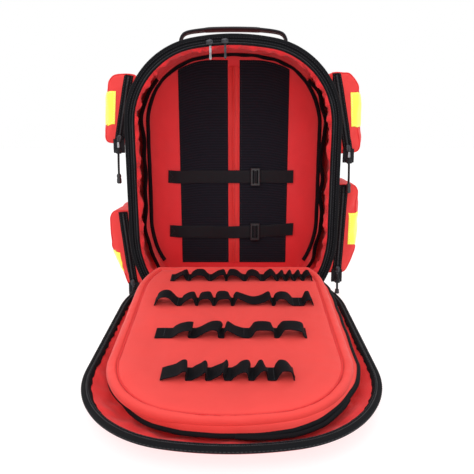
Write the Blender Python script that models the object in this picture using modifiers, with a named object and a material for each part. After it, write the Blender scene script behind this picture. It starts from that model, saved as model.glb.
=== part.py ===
"""Trauma backpack, standing upright with its front lid unzipped and folded down on the floor.

Metres, +Z up, +X to the viewer's right, +Y towards the wearer's back.
The origin is the centre of the bag's base, on the floor.
"""
import math

import bmesh
import bpy
from mathutils import Euler, Matrix, Vector

# ---------------------------------------------------------------- driving dimensions
HEIGHT = 0.450            # top of the crown above the floor
FRONT_Y = -0.080          # front edge of the bag's wall
BACK_Y = 0.080            # outside of the bag's back wall
CROWN_RADIUS = 0.340
SHOULDER_RADIUS = 0.130
CROWN_SPAN = math.radians(11)
BASE_Z = 0.003            # underside of the bag's fabric, on its base panel
CORNER_WIDTH = 0.100      # the bottom corners are quarter ellipses
CORNER_HEIGHT = 0.137
WALL = 0.004              # padded fabric wall
SILL_Z = 0.056            # lower edge of the front opening
GAP = 0.0003              # between pieces that touch
RUN = 0.0006              # between pieces that slide or turn on each other

TAPE_WIDTH = 0.020        # zip tape around the bag's opening
TAPE_THICK = 0.0032
LID_TAPE_WIDTH = 0.010
LID_TAPE_THICK = 0.0024
LID_DEPTH = 0.0235
LID_EDGE_Z = SILL_Z + 0.003
HINGE_Z = SILL_Z - 0.0008
LID_GAP = 0.0008          # between the two tapes with the lid shut
OPEN_ANGLE = math.radians(94)
FRONT_POCKET_LOW = 0.030  # the lid's outer pocket, measured up from the hinge
FRONT_POCKET_HIGH = 0.250
FRONT_POCKET_HALF = 0.105

PANEL_INSET = 0.024       # organiser flap inside the lid
PANEL_END_INSET = 0.017
PANEL_THICK = 0.013
PANEL_RISE = 0.036        # its face above the lid's rim at the hinge end
PANEL_SLOPE = 0.0896
PANEL_START = 0.006

SIDE_POCKET_OUT = 0.216   # half the width over the side pockets
SIDE_POCKET_FRONT = -0.045
SIDE_POCKET_BACK = 0.060
SIDE_POCKET_GAP = 0.0006  # sideways, between a side pocket and the bag's wall
ZIP_WIDTH = 0.015
ZIP_THICK = 0.0016
SLIDER_SIZE = (0.0075, 0.0055, 0.0105)
WEBBING = 0.025
WEBBING_THICK = 0.0018

CROWN_CENTRE = Vector((0.0, 0.0, HEIGHT - CROWN_RADIUS))
SHOULDER_X = (CROWN_RADIUS - SHOULDER_RADIUS) * math.sin(CROWN_SPAN)
SHOULDER_Z = CROWN_CENTRE.z + (CROWN_RADIUS - SHOULDER_RADIUS) * math.cos(CROWN_SPAN)
HALF_WIDTH = SHOULDER_X + SHOULDER_RADIUS
CORNER_X = HALF_WIDTH - CORNER_WIDTH
CORNER_Z = BASE_Z + CORNER_HEIGHT
TAPE_FRONT = FRONT_Y - GAP - TAPE_THICK
HINGE_Y = TAPE_FRONT - LID_GAP / 2
LID_RIM_Y = TAPE_FRONT - LID_GAP - LID_TAPE_THICK - GAP
HINGE = Vector((0.0, HINGE_Y, HINGE_Z))

# ---------------------------------------------------------------- scene and collections
for old in list(bpy.data.objects):
    bpy.data.objects.remove(old, do_unlink=True)

scene = bpy.context.scene
parts = bpy.data.collections.new("trauma_backpack")
cutters = bpy.data.collections.new("cutters")
scene.collection.children.link(parts)
scene.collection.children.link(cutters)

# name: (colour, roughness, metallic)
FINISHES = {
    "red_nylon": ((0.80, 0.055, 0.045), 0.62, 0.0),
    "red_lining": ((0.62, 0.030, 0.035), 0.60, 0.0),
    "black_webbing": ((0.016, 0.016, 0.020), 0.75, 0.0),
    "black_loop": ((0.014, 0.014, 0.018), 0.95, 0.0),
    "black_plastic": ((0.018, 0.018, 0.020), 0.38, 0.0),
    "black_zip": ((0.014, 0.014, 0.016), 0.60, 0.0),
    "reflective_yellow": ((0.86, 0.92, 0.10), 0.40, 0.0),
    "grey_metal": ((0.35, 0.35, 0.36), 0.35, 1.0),
    "frame_plastic": ((0.05, 0.05, 0.055), 0.50, 0.0),
}


def material_for(node, finish):
    """A material of the node's own, with the finish's colour."""
    colour, roughness, metallic = FINISHES[finish]
    made = bpy.data.materials.new(node)
    made.use_nodes = True
    shader = made.node_tree.nodes["Principled BSDF"]
    shader.inputs["Base Color"].default_value = (*colour, 1.0)
    shader.inputs["Roughness"].default_value = roughness
    shader.inputs["Metallic"].default_value = metallic
    made.diffuse_color = (*colour, 1.0)
    return made


# ---------------------------------------------------------------- shape helpers
def add_part(name, mesh, finish, parent=None):
    """Link a mesh as a named part. Its points are given in the parent's frame."""
    part = bpy.data.objects.new(name, mesh)
    mesh.materials.append(material_for(name, finish))
    mesh.shade_smooth()
    mesh.set_sharp_from_angle(angle=math.radians(35))
    parts.objects.link(part)
    part.parent = parent
    return part


def pivot(name, location, parent=None, rotation=(0, 0, 0)):
    """An empty on a joint's axis."""
    made = bpy.data.objects.new(name, None)
    made.empty_display_size = 0.02
    made.location = location
    made.rotation_euler = Euler(rotation)
    parts.objects.link(made)
    made.parent = parent
    return made


def loft(name, rings, origin=Vector((0, 0, 0))):
    """A closed body through rings of equal length, with flat ends, measured from origin."""
    shape = bmesh.new()
    loops = [[shape.verts.new(Vector(point) - origin) for point in ring] for ring in rings]
    for lower, upper in zip(loops, loops[1:]):
        for i in range(len(lower)):
            j = (i + 1) % len(lower)
            shape.faces.new((lower[i], lower[j], upper[j], upper[i]))
    shape.faces.new(loops[0])
    shape.faces.new(loops[-1])
    bmesh.ops.recalc_face_normals(shape, faces=shape.faces)
    mesh = bpy.data.meshes.new(name)
    shape.to_mesh(mesh)
    shape.free()
    return mesh


def smooth_path(points, steps):
    """Points along a Catmull-Rom curve through the given ones."""
    points = [Vector(point) for point in points]
    ends = [2 * points[0] - points[1]] + points + [2 * points[-1] - points[-2]]
    path = []
    for a, b, c, d in zip(ends, ends[1:], ends[2:], ends[3:]):
        for step in range(steps):
            t = step / steps
            path.append(0.5 * (2 * b + (c - a) * t + (2 * a - 5 * b + 4 * c - d) * t * t
                               + (3 * b - a - 3 * c + d) * t * t * t))
    path.append(points[-1])
    return path


def ribbon(name, path, width, thickness, across=(1, 0, 0), origin=Vector((0, 0, 0))):
    """A flat strap along a path. Width may be a number or one for each point."""
    path = [Vector(point) for point in path]
    across = Vector(across).normalized()
    rings = []
    for i, point in enumerate(path):
        along = path[min(i + 1, len(path) - 1)] - path[max(i - 1, 0)]
        out = along.cross(across).normalized() * thickness / 2
        side = across * (width if isinstance(width, (int, float)) else width[i]) / 2
        rings.append([point - side - out, point + side - out, point + side + out, point - side + out])
    return loft(name, rings, origin)


def box(name, low, high, bevel=0.0, segments=2, origin=Vector((0, 0, 0))):
    """A box between two corners, with rounded edges."""
    low, high = Vector(low), Vector(high)
    shape = bmesh.new()
    bmesh.ops.create_cube(shape, size=1.0)
    place = Matrix.Translation((low + high) / 2 - origin) @ Matrix.Diagonal((*(high - low), 1.0))
    bmesh.ops.transform(shape, matrix=place, verts=shape.verts)
    if bevel:
        bmesh.ops.bevel(shape, geom=shape.edges[:], offset=bevel, segments=segments, affect="EDGES", profile=0.5)
    mesh = bpy.data.meshes.new(name)
    shape.to_mesh(mesh)
    shape.free()
    return mesh


def cut_slots(part, slots):
    """Cut through-slots, each a box (low, high) in the part's own frame."""
    for number, (low, high) in enumerate(slots):
        mesh = box(f"{part.name}_slot_{number}", low, high)
        cutter = bpy.data.objects.new(mesh.name, mesh)
        cutter.hide_render = True
        cutter.display_type = "WIRE"
        cutters.objects.link(cutter)
        cutter.parent = part
        cut = part.modifiers.new(f"slot_{number}", "BOOLEAN")
        cut.operation = "DIFFERENCE"
        cut.object = cutter


# ---------------------------------------------------------------- the bag's outline
def half_edge():
    """The right half of the outline from the base's centre to the crown: (point, outward normal)."""
    sill_angle = math.asin((SILL_Z - CORNER_Z) / CORNER_HEIGHT)
    corner_angles = [-math.pi / 2 + (sill_angle + math.pi / 2) * i / 4 for i in range(4)]
    corner_angles += [sill_angle - sill_angle * i / 4 for i in range(5)]
    edge = [((0.0, BASE_Z), (0.0, -1.0))]
    for angle in corner_angles:
        normal = Vector((math.cos(angle) / CORNER_WIDTH, math.sin(angle) / CORNER_HEIGHT)).normalized()
        point = (CORNER_X + CORNER_WIDTH * math.cos(angle), CORNER_Z + CORNER_HEIGHT * math.sin(angle))
        edge.append((point, tuple(normal)))
    for i in range(1, 3):
        edge.append(((HALF_WIDTH, CORNER_Z + (SHOULDER_Z - CORNER_Z) * i / 3), (1.0, 0.0)))
    for i in range(9):
        angle = (math.pi / 2 - CROWN_SPAN) * i / 8
        normal = (math.cos(angle), math.sin(angle))
        point = (SHOULDER_X + SHOULDER_RADIUS * normal[0], SHOULDER_Z + SHOULDER_RADIUS * normal[1])
        edge.append((point, normal))
    for i in (1, 2):
        angle = math.pi / 2 - CROWN_SPAN * (1 - i / 2)
        normal = (math.cos(angle), math.sin(angle))
        edge.append(((CROWN_RADIUS * normal[0], CROWN_CENTRE.z + CROWN_RADIUS * normal[1]), normal))
    return edge


RIGHT_EDGE = half_edge()
SILL_INDEX = 5            # the edge point at the sill's height
FULL_EDGE = RIGHT_EDGE + [((-p[0], p[1]), (-n[0], n[1])) for p, n in RIGHT_EDGE[-2:0:-1]]
ARCH_EDGE = FULL_EDGE[SILL_INDEX:len(FULL_EDGE) - SILL_INDEX + 1]


def outline(inset, y, lowest=None):
    """The whole outline moved in by inset, at depth y, and cut off level at lowest."""
    ring = []
    for point, normal in FULL_EDGE:
        z = point[1] - normal[1] * inset
        ring.append((point[0] - normal[0] * inset, y, z if lowest is None else max(z, lowest)))
    return ring


def edge_sweep(name, edge, section, side=1):
    """Sweep a section of (inset, y) corners along a stretch of the outline."""
    rings = []
    for point, normal in edge:
        rings.append([(side * (point[0] - normal[0] * inset), y, point[1] - normal[1] * inset)
                      for inset, y in section])
    return rings


def wall_line(low, high):
    """The right wall's outline between two heights, as (x, z) points on its own facets."""
    line = []
    for (lower, _), (upper, _) in zip(RIGHT_EDGE[1:], RIGHT_EDGE[2:]):
        for z in (low, high):
            if lower[1] < z <= upper[1]:
                share = (z - lower[1]) / (upper[1] - lower[1])
                line.append((lower[0] + (upper[0] - lower[0]) * share, z))
        if low < upper[1] < high:
            line.append(upper)
    return sorted(line, key=lambda point: point[1])


# ---------------------------------------------------------------- bag
def build_bag():
    lip = TAPE_WIDTH - 0.002
    rings = [
        outline(0.020, BACK_Y - WALL + 0.0005),
        outline(0.010, BACK_Y - WALL - 0.0015),
        outline(WALL, BACK_Y - 0.014),
        outline(WALL, FRONT_Y + 0.0025),
        outline(lip, FRONT_Y + 0.0025, SILL_Z),
        outline(lip, FRONT_Y, SILL_Z),
        outline(0.0, FRONT_Y),
        outline(0.0, BACK_Y - 0.014),
        outline(0.006, BACK_Y - 0.004),
        outline(0.018, BACK_Y),
    ]
    add_part("bag_shell", loft("bag_shell", rings), "red_nylon")
    base = box("base_panel", (-0.068, FRONT_Y + 0.006, 0.0), (0.068, BACK_Y - 0.020, BASE_Z - GAP), 0.0009, 1)
    add_part("base_panel", base, "black_plastic")
    tape = [(0.0, FRONT_Y - GAP), (TAPE_WIDTH, FRONT_Y - GAP), (TAPE_WIDTH, TAPE_FRONT), (0.0, TAPE_FRONT)]
    add_part("zipper_tape_body", loft("zipper_tape_body", edge_sweep("tape", ARCH_EDGE, tape)), "black_zip")


def build_back():
    sheet_front = BACK_Y + GAP
    pad_front = sheet_front + 0.002 + GAP
    pad_back = pad_front + 0.014
    sheet = box("frame_sheet", (-0.120, sheet_front, 0.070), (0.120, sheet_front + 0.002, 0.385), 0.0006, 1)
    add_part("frame_sheet", sheet, "frame_plastic")
    add_part("back_pad", box("back_pad", (-0.122, pad_front, 0.066), (0.122, pad_back, 0.390), 0.005), "black_loop")
    lumbar = box("lumbar_pad", (-0.070, pad_back + GAP, 0.070), (0.070, pad_back + 0.014, 0.135), 0.005)
    add_part("lumbar_pad", lumbar, "black_loop")
    for label, side in (("left", -1), ("right", 1)):
        build_shoulder_strap(label, side, pad_back)


def build_shoulder_strap(label, side, pad_back):
    """A padded strap that bows away from the back, its webbing, and the adjuster on the webbing."""
    pad_path = smooth_path([
        (side * 0.050, pad_back + 0.0080, 0.372),
        (side * 0.054, pad_back + 0.0400, 0.368),
        (side * 0.064, pad_back + 0.0560, 0.320),
        (side * 0.076, pad_back + 0.0540, 0.250),
        (side * 0.090, pad_back + 0.0400, 0.185),
    ], 4)
    widths = [0.048 + 0.014 * math.sin(math.pi * i / (len(pad_path) - 1)) for i in range(len(pad_path))]
    name = f"shoulder_strap_{label}"
    add_part(name, ribbon(name, pad_path, widths, 0.012), "black_loop")
    start = pad_path[-1] + Vector((side * 0.001, -0.0035, -0.0076))
    end = Vector((side * 0.104, pad_back + 0.0012, 0.086))
    web_path = [start, end, end + Vector((side * 0.0005, 0.0, -0.016))]
    name = f"strap_webbing_{label}"
    add_part(name, ribbon(name, web_path, WEBBING, WEBBING_THICK), "black_webbing")
    along = (end - start).normalized()
    outwards = Vector((1, 0, 0)).cross(along).normalized()
    if outwards.y < 0:
        outwards.negate()
    seat = start + along * 0.022 + outwards * (WEBBING_THICK / 2 + RUN + 0.003)
    name = f"strap_adjuster_{label}"
    mesh = box(name, (-0.018, -0.003, -0.013), (0.018, 0.003, 0.013), 0.0012, 1)
    adjuster = add_part(name, mesh, "black_plastic")
    adjuster.location = seat
    adjuster.rotation_euler = Matrix((Vector((1, 0, 0)), outwards, Vector((1, 0, 0)).cross(outwards))).transposed() \
        .to_euler()
    cut_slots(adjuster, [((-0.013, -0.01, z - 0.0017), (0.013, 0.01, z + 0.0017)) for z in (-0.0055, 0.0055)])


# ---------------------------------------------------------------- inside the bag
LINING_Y = BACK_Y - WALL + 0.0005     # face of the back lining
LOOP_THICK = 0.0022


def build_interior():
    panel_back = LINING_Y - GAP
    for label, side in (("left", -1), ("right", 1)):
        rings = []
        for y in (panel_back, panel_back - LOOP_THICK):
            across = [0.0105 + 0.0925 * i / 6 for i in range(7)]
            top = [(side * x, y, SHOULDER_Z - 0.024 + math.sqrt(SHOULDER_RADIUS ** 2 - max(0.0, x - SHOULDER_X) ** 2))
                   for x in across]
            rings.append([(side * 0.0105, y, 0.048), *top, (side * 0.103, y, 0.048)])
        name = f"loop_panel_{label}"
        add_part(name, loft(name, rings), "black_loop")
    face = panel_back - LOOP_THICK
    strap_y = face - 0.0006 - WEBBING_THICK / 2
    for label, z, low, high in (("upper", 0.220, -0.126, 0.114), ("lower", 0.113, -0.126, 0.116)):
        path = smooth_path([
            (low, panel_back - WEBBING_THICK / 2 - 0.0002, z),
            (low + 0.010, panel_back - WEBBING_THICK / 2 - 0.0002, z),
            (low + 0.024 - 0.004, strap_y, z),
            (0.0, strap_y - 0.0006, z),
            (high - 0.0085, strap_y, z),
            (high, strap_y + 0.0006, z),
        ], 3)
        name = f"securing_strap_{label}"
        add_part(name, ribbon(name, path, WEBBING, WEBBING_THICK, (0, 0, 1)), "black_webbing")
        build_strap_buckle(label, z, strap_y - 0.0008 - WEBBING_THICK / 2 - RUN)
    for label, side in (("left", -1), ("right", 1)):
        build_wall_pocket(label, side)


def build_strap_buckle(label, z, back):
    """A ladder-lock buckle in front of its strap, free to slide along it."""
    name = f"strap_buckle_{label}"
    mesh = box(name, (-0.009, -0.005, -0.017), (0.009, 0.0, 0.017), 0.0012, 1)
    buckle = add_part(name, mesh, "black_plastic")
    buckle.location = (0.041, back, z)
    cut_slots(buckle, [((x - 0.0016, -0.01, -0.0128), (x + 0.0016, 0.01, 0.0128)) for x in (-0.0038, 0.0038)])


def build_wall_pocket(label, side):
    """A gathered pocket on a side wall, open at its front edge, and the elastic along that edge."""
    stretch = RIGHT_EDGE[SILL_INDEX:SILL_INDEX + 12]
    cloth = [(0.0056, 0.060), (0.0074, 0.060), (0.0212, -0.030), (0.0192, -0.030)]
    name = f"wall_pocket_{label}"
    add_part(name, loft(name, edge_sweep(name, stretch, cloth, side)), "red_lining")
    elastic = [(0.0190, -0.0303), (0.0214, -0.0303), (0.0214, -0.0400), (0.0190, -0.0400)]
    name = f"wall_elastic_{label}"
    add_part(name, loft(name, edge_sweep(name, stretch, elastic, side)), "black_webbing")


# ---------------------------------------------------------------- main zip and handle
SLIDER_INSET = 0.0158
PULL_PIVOT_INSET = 0.0226
MAIN_PULL_LENGTH = 0.0162


def build_main_sliders():
    """Two sliders on the crown's tape, turning about the crown's centre, with a pull on each."""
    for label, x, metal in (("left", -0.035, "grey_metal"), ("right", -0.012, "black_plastic")):
        tilt = math.asin(x / (CROWN_RADIUS - SLIDER_INSET))
        spin = pivot(f"main_slider_{label}_axis", (0, 0, CROWN_CENTRE.z), None, (0, tilt, 0))
        half = SLIDER_SIZE[0] / 2
        radius = CROWN_RADIUS - SLIDER_INSET
        low = (-half, TAPE_FRONT - RUN - SLIDER_SIZE[1], radius - SLIDER_SIZE[2] / 2)
        high = (half, TAPE_FRONT - RUN, radius + SLIDER_SIZE[2] / 2)
        name = f"main_slider_{label}"
        add_part(name, box(name, low, high, 0.0012, 1), "grey_metal", spin)
        hang = Vector((0, TAPE_FRONT - RUN - SLIDER_SIZE[1] / 2, CROWN_RADIUS - PULL_PIVOT_INSET))
        swing = pivot(f"main_pull_{label}_axis", hang, spin, (0, -tilt, 0))
        name = f"main_pull_{label}"
        tab = box(name, (-0.0028, -0.0009, -MAIN_PULL_LENGTH), (0.0028, 0.0009, 0.0008), 0.0006, 1)
        add_part(name, tab, metal, swing)


HANDLE_SPAN = 0.088
HANDLE_AXIS_Z = 0.4465


def build_handle():
    """A webbing carry handle that tips about the line through its two anchors."""
    swing = pivot("carry_handle_axis", (0, 0, HANDLE_AXIS_Z))
    right = [(HANDLE_SPAN, 0, 0), (0.0865, 0, 0.011), (0.076, 0, 0.0215), (0.050, 0, 0.0262), (0.018, 0, 0.0276)]
    points = [(-x, y, z) for x, y, z in right] + right[::-1]
    path = smooth_path(points, 3)
    widths = [0.010 + 0.015 * math.sin(math.pi * i / (len(path) - 1)) ** 0.5 for i in range(len(path))]
    add_part("carry_handle", ribbon("carry_handle", path, widths, 0.005, (0, 1, 0)), "black_webbing", swing)
    for label, side in (("left", -1), ("right", 1)):
        rings = []
        for z in (None, HANDLE_AXIS_Z - 0.0032):
            ring = []
            for x, y in ((0.080, -0.006), (0.096, -0.006), (0.096, 0.006), (0.080, 0.006)):
                ring.append((side * x, y, shoulder_height(x) + 0.0005 if z is None else z))
            rings.append(ring)
        name = f"handle_anchor_{label}"
        add_part(name, loft(name, rings), "black_webbing")


def shoulder_height(x):
    """Height of the shoulder above a point x from the middle."""
    return SHOULDER_Z + math.sqrt(SHOULDER_RADIUS ** 2 - (x - SHOULDER_X) ** 2)


# ---------------------------------------------------------------- side pockets
# name, side, bottom, top, low chamfer (x, z), high chamfer (x, z), zip's foot x, head x, pull, patch (z, z)
SIDE_POCKETS = (
    ("upper_left", -1, 0.284, 0.400, (0.004, 0.006), (0.008, 0.012), 0.189, 0.168, 0.066, (0.318, 0.370)),
    ("upper_right", 1, 0.268, 0.402, (0.004, 0.010), (0.014, 0.020), 0.191, 0.166, 0.066, (0.314, 0.368)),
    ("lower_left", -1, 0.036, 0.176, (0.028, 0.070), (0.006, 0.010), 0.176, 0.189, 0.030, (0.062, 0.100)),
    ("lower_right", 1, 0.060, 0.222, (0.018, 0.040), (0.006, 0.010), 0.181, 0.186, 0.034, (0.115, 0.170)),
)


def build_side_pocket(label, side, low, high, low_cut, high_cut, zip_foot, zip_head, pull, patch):
    inner = [(x + SIDE_POCKET_GAP, z) for x, z in wall_line(low, high)]
    outer = [
        (SIDE_POCKET_OUT - high_cut[0], high),
        (SIDE_POCKET_OUT, high - high_cut[1]),
        (SIDE_POCKET_OUT, low + low_cut[1]),
        (SIDE_POCKET_OUT - low_cut[0], low),
    ]
    rings = [[(side * x, y, z) for x, z in inner + outer] for y in (SIDE_POCKET_FRONT, SIDE_POCKET_BACK)]
    name = f"pocket_{label}"
    pocket = add_part(name, loft(name, rings), "red_nylon")
    edges = pocket.modifiers.new("soft_edges", "BEVEL")
    edges.width = 0.0035
    edges.segments = 2
    edges.limit_method = "ANGLE"
    edges.angle_limit = math.radians(50)

    front = SIDE_POCKET_FRONT - GAP
    foot = Vector((side * zip_foot, front - ZIP_THICK / 2, low + 0.005))
    head = Vector((side * zip_head, front - ZIP_THICK / 2, high - 0.006))
    along = (head - foot).normalized()
    across = along.cross(Vector((0, 1, 0)))
    name = f"pocket_zip_{label}"
    add_part(name, ribbon(name, [foot, head], ZIP_WIDTH, ZIP_THICK, across), "black_zip")

    face = front - ZIP_THICK - RUN
    tilt = math.atan2(along.x, along.z)
    seat = pivot(f"pocket_slider_{label}_seat", foot + along * 0.006, None, (0, tilt, 0))
    seat.location.y = face
    name = f"pocket_slider_{label}"
    half = SLIDER_SIZE[0] / 2
    body = box(name, (-half, -SLIDER_SIZE[1], -0.0052), (half, 0.0, 0.0052), 0.0012, 1)
    add_part(name, body, "grey_metal", seat)
    hang = pivot(f"pocket_pull_{label}_axis", (0, -SLIDER_SIZE[1] / 2, -0.0072), seat)
    hang.rotation_euler = Euler((0, -tilt, 0))
    cord = [(0, 0, 0.0008), (0, 0, -0.25 * pull), (0, 0, -0.60 * pull), (0, 0, -0.72 * pull), (0, 0, -pull)]
    widths = [0.0030, 0.0030, 0.0030, 0.0046, 0.0046]
    name = f"pocket_pull_{label}"
    add_part(name, ribbon(name, cord, widths, 0.0026, (1, 0, 0)), "black_webbing", hang)

    name = f"reflective_patch_{label}"
    thick, skin = 0.0012, 0.0004
    x_in, x_out, y_in, y_out = 0.200, SIDE_POCKET_OUT + skin, 0.030, SIDE_POCKET_FRONT - skin
    corner = [(x_in, y_out - thick), (x_out + thick, y_out - thick), (x_out + thick, y_in), (x_out, y_in),
              (x_out, y_out), (x_in, y_out)]
    rings = [[(side * x, y, z) for x, y in corner] for z in patch]
    add_part(name, loft(name, rings), "reflective_yellow")


# ---------------------------------------------------------------- lid
LID_FLOOR_Y = LID_RIM_Y - LID_DEPTH


def build_lid():
    """The lid, made shut against the bag and then turned down about its hinge."""
    hinge = pivot("lid_hinge_axis", HINGE, None, (OPEN_ANGLE, 0, 0))
    low = LID_EDGE_Z
    rings = [
        outline(0.016, LID_FLOOR_Y + 0.003, low + 0.010),
        outline(0.0075, LID_FLOOR_Y + 0.007, low + 0.004),
        outline(0.0046, LID_RIM_Y - 0.004, low + 0.003),
        outline(0.0046, LID_RIM_Y, low + 0.003),
        outline(0.0010, LID_RIM_Y, low),
        outline(0.0010, LID_RIM_Y - 0.006, low),
        outline(0.0040, LID_FLOOR_Y + 0.005, low + 0.001),
        outline(0.0120, LID_FLOOR_Y, low + 0.006),
    ]
    add_part("lid_shell", loft("lid_shell", rings, HINGE), "red_nylon", hinge)
    back = TAPE_FRONT - LID_GAP
    tape = [(0.0, back), (LID_TAPE_WIDTH, back), (LID_TAPE_WIDTH, back - LID_TAPE_THICK), (0.0, back - LID_TAPE_THICK)]
    sweep = edge_sweep("tape", ARCH_EDGE[1:-1], tape)
    add_part("zipper_tape_lid", loft("zipper_tape_lid", sweep, HINGE), "black_zip", hinge)
    build_front_pocket(hinge)
    build_organiser(hinge)


def build_front_pocket(hinge):
    """The lid's outer pocket, a wedge whose face lies flat on the floor when the lid is down."""
    slope = OPEN_ANGLE - math.pi / 2
    skin = HINGE_Y - LID_FLOOR_Y + GAP
    corners = []
    for up in (FRONT_POCKET_LOW, FRONT_POCKET_HIGH):
        floor = (HINGE_Z - 0.0006 - up * math.sin(slope)) / math.cos(slope)
        corners.append((up, skin, floor))
    (low, _, low_floor), (high, _, high_floor) = corners
    rings = []
    for half in (-FRONT_POCKET_HALF, FRONT_POCKET_HALF):
        side = 1 if half > 0 else -1
        inner = half - side * 0.008
        section = [(inner, low + 0.004, skin), (inner, high - 0.004, skin), (inner, high - 0.004, high_floor),
                   (inner, low + 0.004, low_floor)]
        outer = [(half, low + 0.010, skin), (half, high - 0.010, skin), (half, high - 0.010, high_floor - 0.004),
                 (half, low + 0.010, low_floor - 0.004)]
        rings += [outer, section] if side < 0 else [section, outer]
    rings = [[(x, -depth, up) for x, up, depth in ring] for ring in rings]
    add_part("front_pocket", loft("front_pocket", rings), "red_nylon", hinge)


def panel_inset(normal):
    """The flap's inset from the bag's outline, larger towards its far end."""
    return PANEL_INSET + PANEL_END_INSET * max(0.0, normal[1])


def panel_ring(extra, depth, end_lift=0.0):
    """A ring of the flap: extra inset, and depth below its sloping face, in the hinge's frame."""
    ring = []
    for point, normal in FULL_EDGE:
        inset = panel_inset(normal) + extra
        x = point[0] - normal[0] * inset
        up = max(point[1] - normal[1] * inset - HINGE_Z, PANEL_START + extra)
        ring.append((x, PANEL_RISE - PANEL_SLOPE * up - depth, up))
    return ring


FLAP_AXIS = Vector((0.0, PANEL_RISE - 0.008, PANEL_START + 0.002))
# up the lid from the hinge, then each loop's (start x, width, height)
ELASTIC_ROWS = {
    "1": (0.052, -0.097, [(0.028, 0.0115)] * 6 + [(0.0125, 0.0095)] * 4),
    "2": (0.128, -0.110, [(0.036, 0.0125)] * 3 + [(0.042, 0.0085)] + [(0.036, 0.0115)] * 2),
    "3": (0.208, -0.078, [(0.040, 0.0115)] * 4),
    "4": (0.290, -0.083, [(0.029, 0.0125)] * 5),
}
LOOP_SEAM = 0.0030


def build_organiser(hinge):
    """The padded flap inside the lid, hinged at the lid's hinge end, with rows of elastic loops."""
    flap = pivot("organiser_flap_axis", FLAP_AXIS, hinge)
    rings = [panel_ring(0.006, PANEL_THICK), panel_ring(0.0, PANEL_THICK * 0.7), panel_ring(0.0, PANEL_THICK * 0.3),
             panel_ring(0.004, 0.0)]
    add_part("organiser_panel", loft("organiser_panel", rings, FLAP_AXIS), "red_nylon", flap)
    rings = []
    for point, normal in ARCH_EDGE[6:-6]:
        inset = panel_inset(normal)
        x, up = point[0] - normal[0] * inset, point[1] - normal[1] * inset - HINGE_Z
        top = PANEL_RISE - PANEL_SLOPE * up - PANEL_THICK
        ring = []
        for step, drop in ((-0.0030, 0.0005), (0.0005, 0.0005), (0.0005, 0.0045), (-0.0030, 0.0045)):
            ring.append((x + normal[0] * step, top - drop, up + normal[1] * step))
        rings.append(ring)
    add_part("organiser_binding", loft("organiser_binding", rings, FLAP_AXIS), "black_zip", flap)
    lean = math.atan(PANEL_SLOPE)
    out = Vector((0, math.cos(lean), math.sin(lean)))
    across = Vector((0, -math.sin(lean), math.cos(lean)))
    for label, (up, start, loops) in ELASTIC_ROWS.items():
        seat = Vector((0, PANEL_RISE - PANEL_SLOPE * up, up)) + out * (GAP + 0.0006)
        path = []
        x = start
        for width, height in loops:
            path.append(seat + Vector((x, 0, 0)))
            path.append(seat + Vector((x + LOOP_SEAM, 0, 0)))
            for i in range(1, 6):
                angle = math.pi * i / 6
                run = (width - LOOP_SEAM) / 2
                middle = x + LOOP_SEAM + run
                reach = run * math.copysign(abs(math.cos(angle)) ** 0.7, math.cos(angle))
                path.append(seat + Vector((middle - reach, 0, 0)) + out * height * math.sin(angle) ** 0.55)
            x += width
        path.append(seat + Vector((x, 0, 0)))
        path.append(seat + Vector((x + LOOP_SEAM, 0, 0)))
        name = f"elastic_row_{label}"
        mesh = ribbon(name, path, WEBBING * 0.92, 0.0012, across, FLAP_AXIS)
        add_part(name, mesh, "black_webbing", flap)


build_bag()
build_back()
build_interior()
build_main_sliders()
build_handle()
for pocket_row in SIDE_POCKETS:
    build_side_pocket(*pocket_row)
build_lid()
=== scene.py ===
"""The trauma backpack's looks: soft goods, zips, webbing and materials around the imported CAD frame.

Metres, +Z up, +X to the viewer's right, +Y towards the wearer's back.
"""
import math

import bmesh
import bpy
import numpy as np
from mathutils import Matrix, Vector
from mathutils.bvhtree import BVHTree


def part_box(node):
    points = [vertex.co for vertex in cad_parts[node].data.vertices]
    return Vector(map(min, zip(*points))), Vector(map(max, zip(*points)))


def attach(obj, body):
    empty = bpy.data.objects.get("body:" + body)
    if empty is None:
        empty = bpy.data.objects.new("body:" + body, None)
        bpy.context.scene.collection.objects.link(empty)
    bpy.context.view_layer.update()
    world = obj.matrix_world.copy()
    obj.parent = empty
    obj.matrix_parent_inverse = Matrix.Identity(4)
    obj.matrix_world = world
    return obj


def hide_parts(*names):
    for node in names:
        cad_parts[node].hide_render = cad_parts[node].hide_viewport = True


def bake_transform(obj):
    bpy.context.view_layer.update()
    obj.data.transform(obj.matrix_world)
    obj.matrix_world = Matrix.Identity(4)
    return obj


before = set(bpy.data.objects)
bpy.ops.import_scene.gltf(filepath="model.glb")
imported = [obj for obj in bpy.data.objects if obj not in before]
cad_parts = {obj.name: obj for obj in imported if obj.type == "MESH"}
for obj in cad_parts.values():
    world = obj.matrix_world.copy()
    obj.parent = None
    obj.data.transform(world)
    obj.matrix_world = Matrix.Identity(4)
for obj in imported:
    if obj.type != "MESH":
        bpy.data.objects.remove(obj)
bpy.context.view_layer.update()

# ================================================================ the bag's own numbers
CROWN_RADIUS = 0.340
SHOULDER_RADIUS = 0.130
CROWN_SPAN = math.radians(11)
CROWN_Z = 0.110
BASE_Z = 0.003
CORNER_WIDTH = 0.100
CORNER_HEIGHT = 0.137
SHOULDER_X = (CROWN_RADIUS - SHOULDER_RADIUS) * math.sin(CROWN_SPAN)
SHOULDER_Z = CROWN_Z + (CROWN_RADIUS - SHOULDER_RADIUS) * math.cos(CROWN_SPAN)
HALF_WIDTH = SHOULDER_X + SHOULDER_RADIUS
CORNER_X = HALF_WIDTH - CORNER_WIDTH
CORNER_Z = BASE_Z + CORNER_HEIGHT
FRONT_Y, BACK_Y = -0.080, 0.080
SILL_Z = 0.056
WALL = 0.004
TAPE_FRONT = -0.0835
LINING_Y = 0.0765
HINGE_Y, HINGE_Z = -0.0839, 0.0552
OPEN_ANGLE = math.radians(94)
LID_EDGE_Z = 0.059
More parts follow.
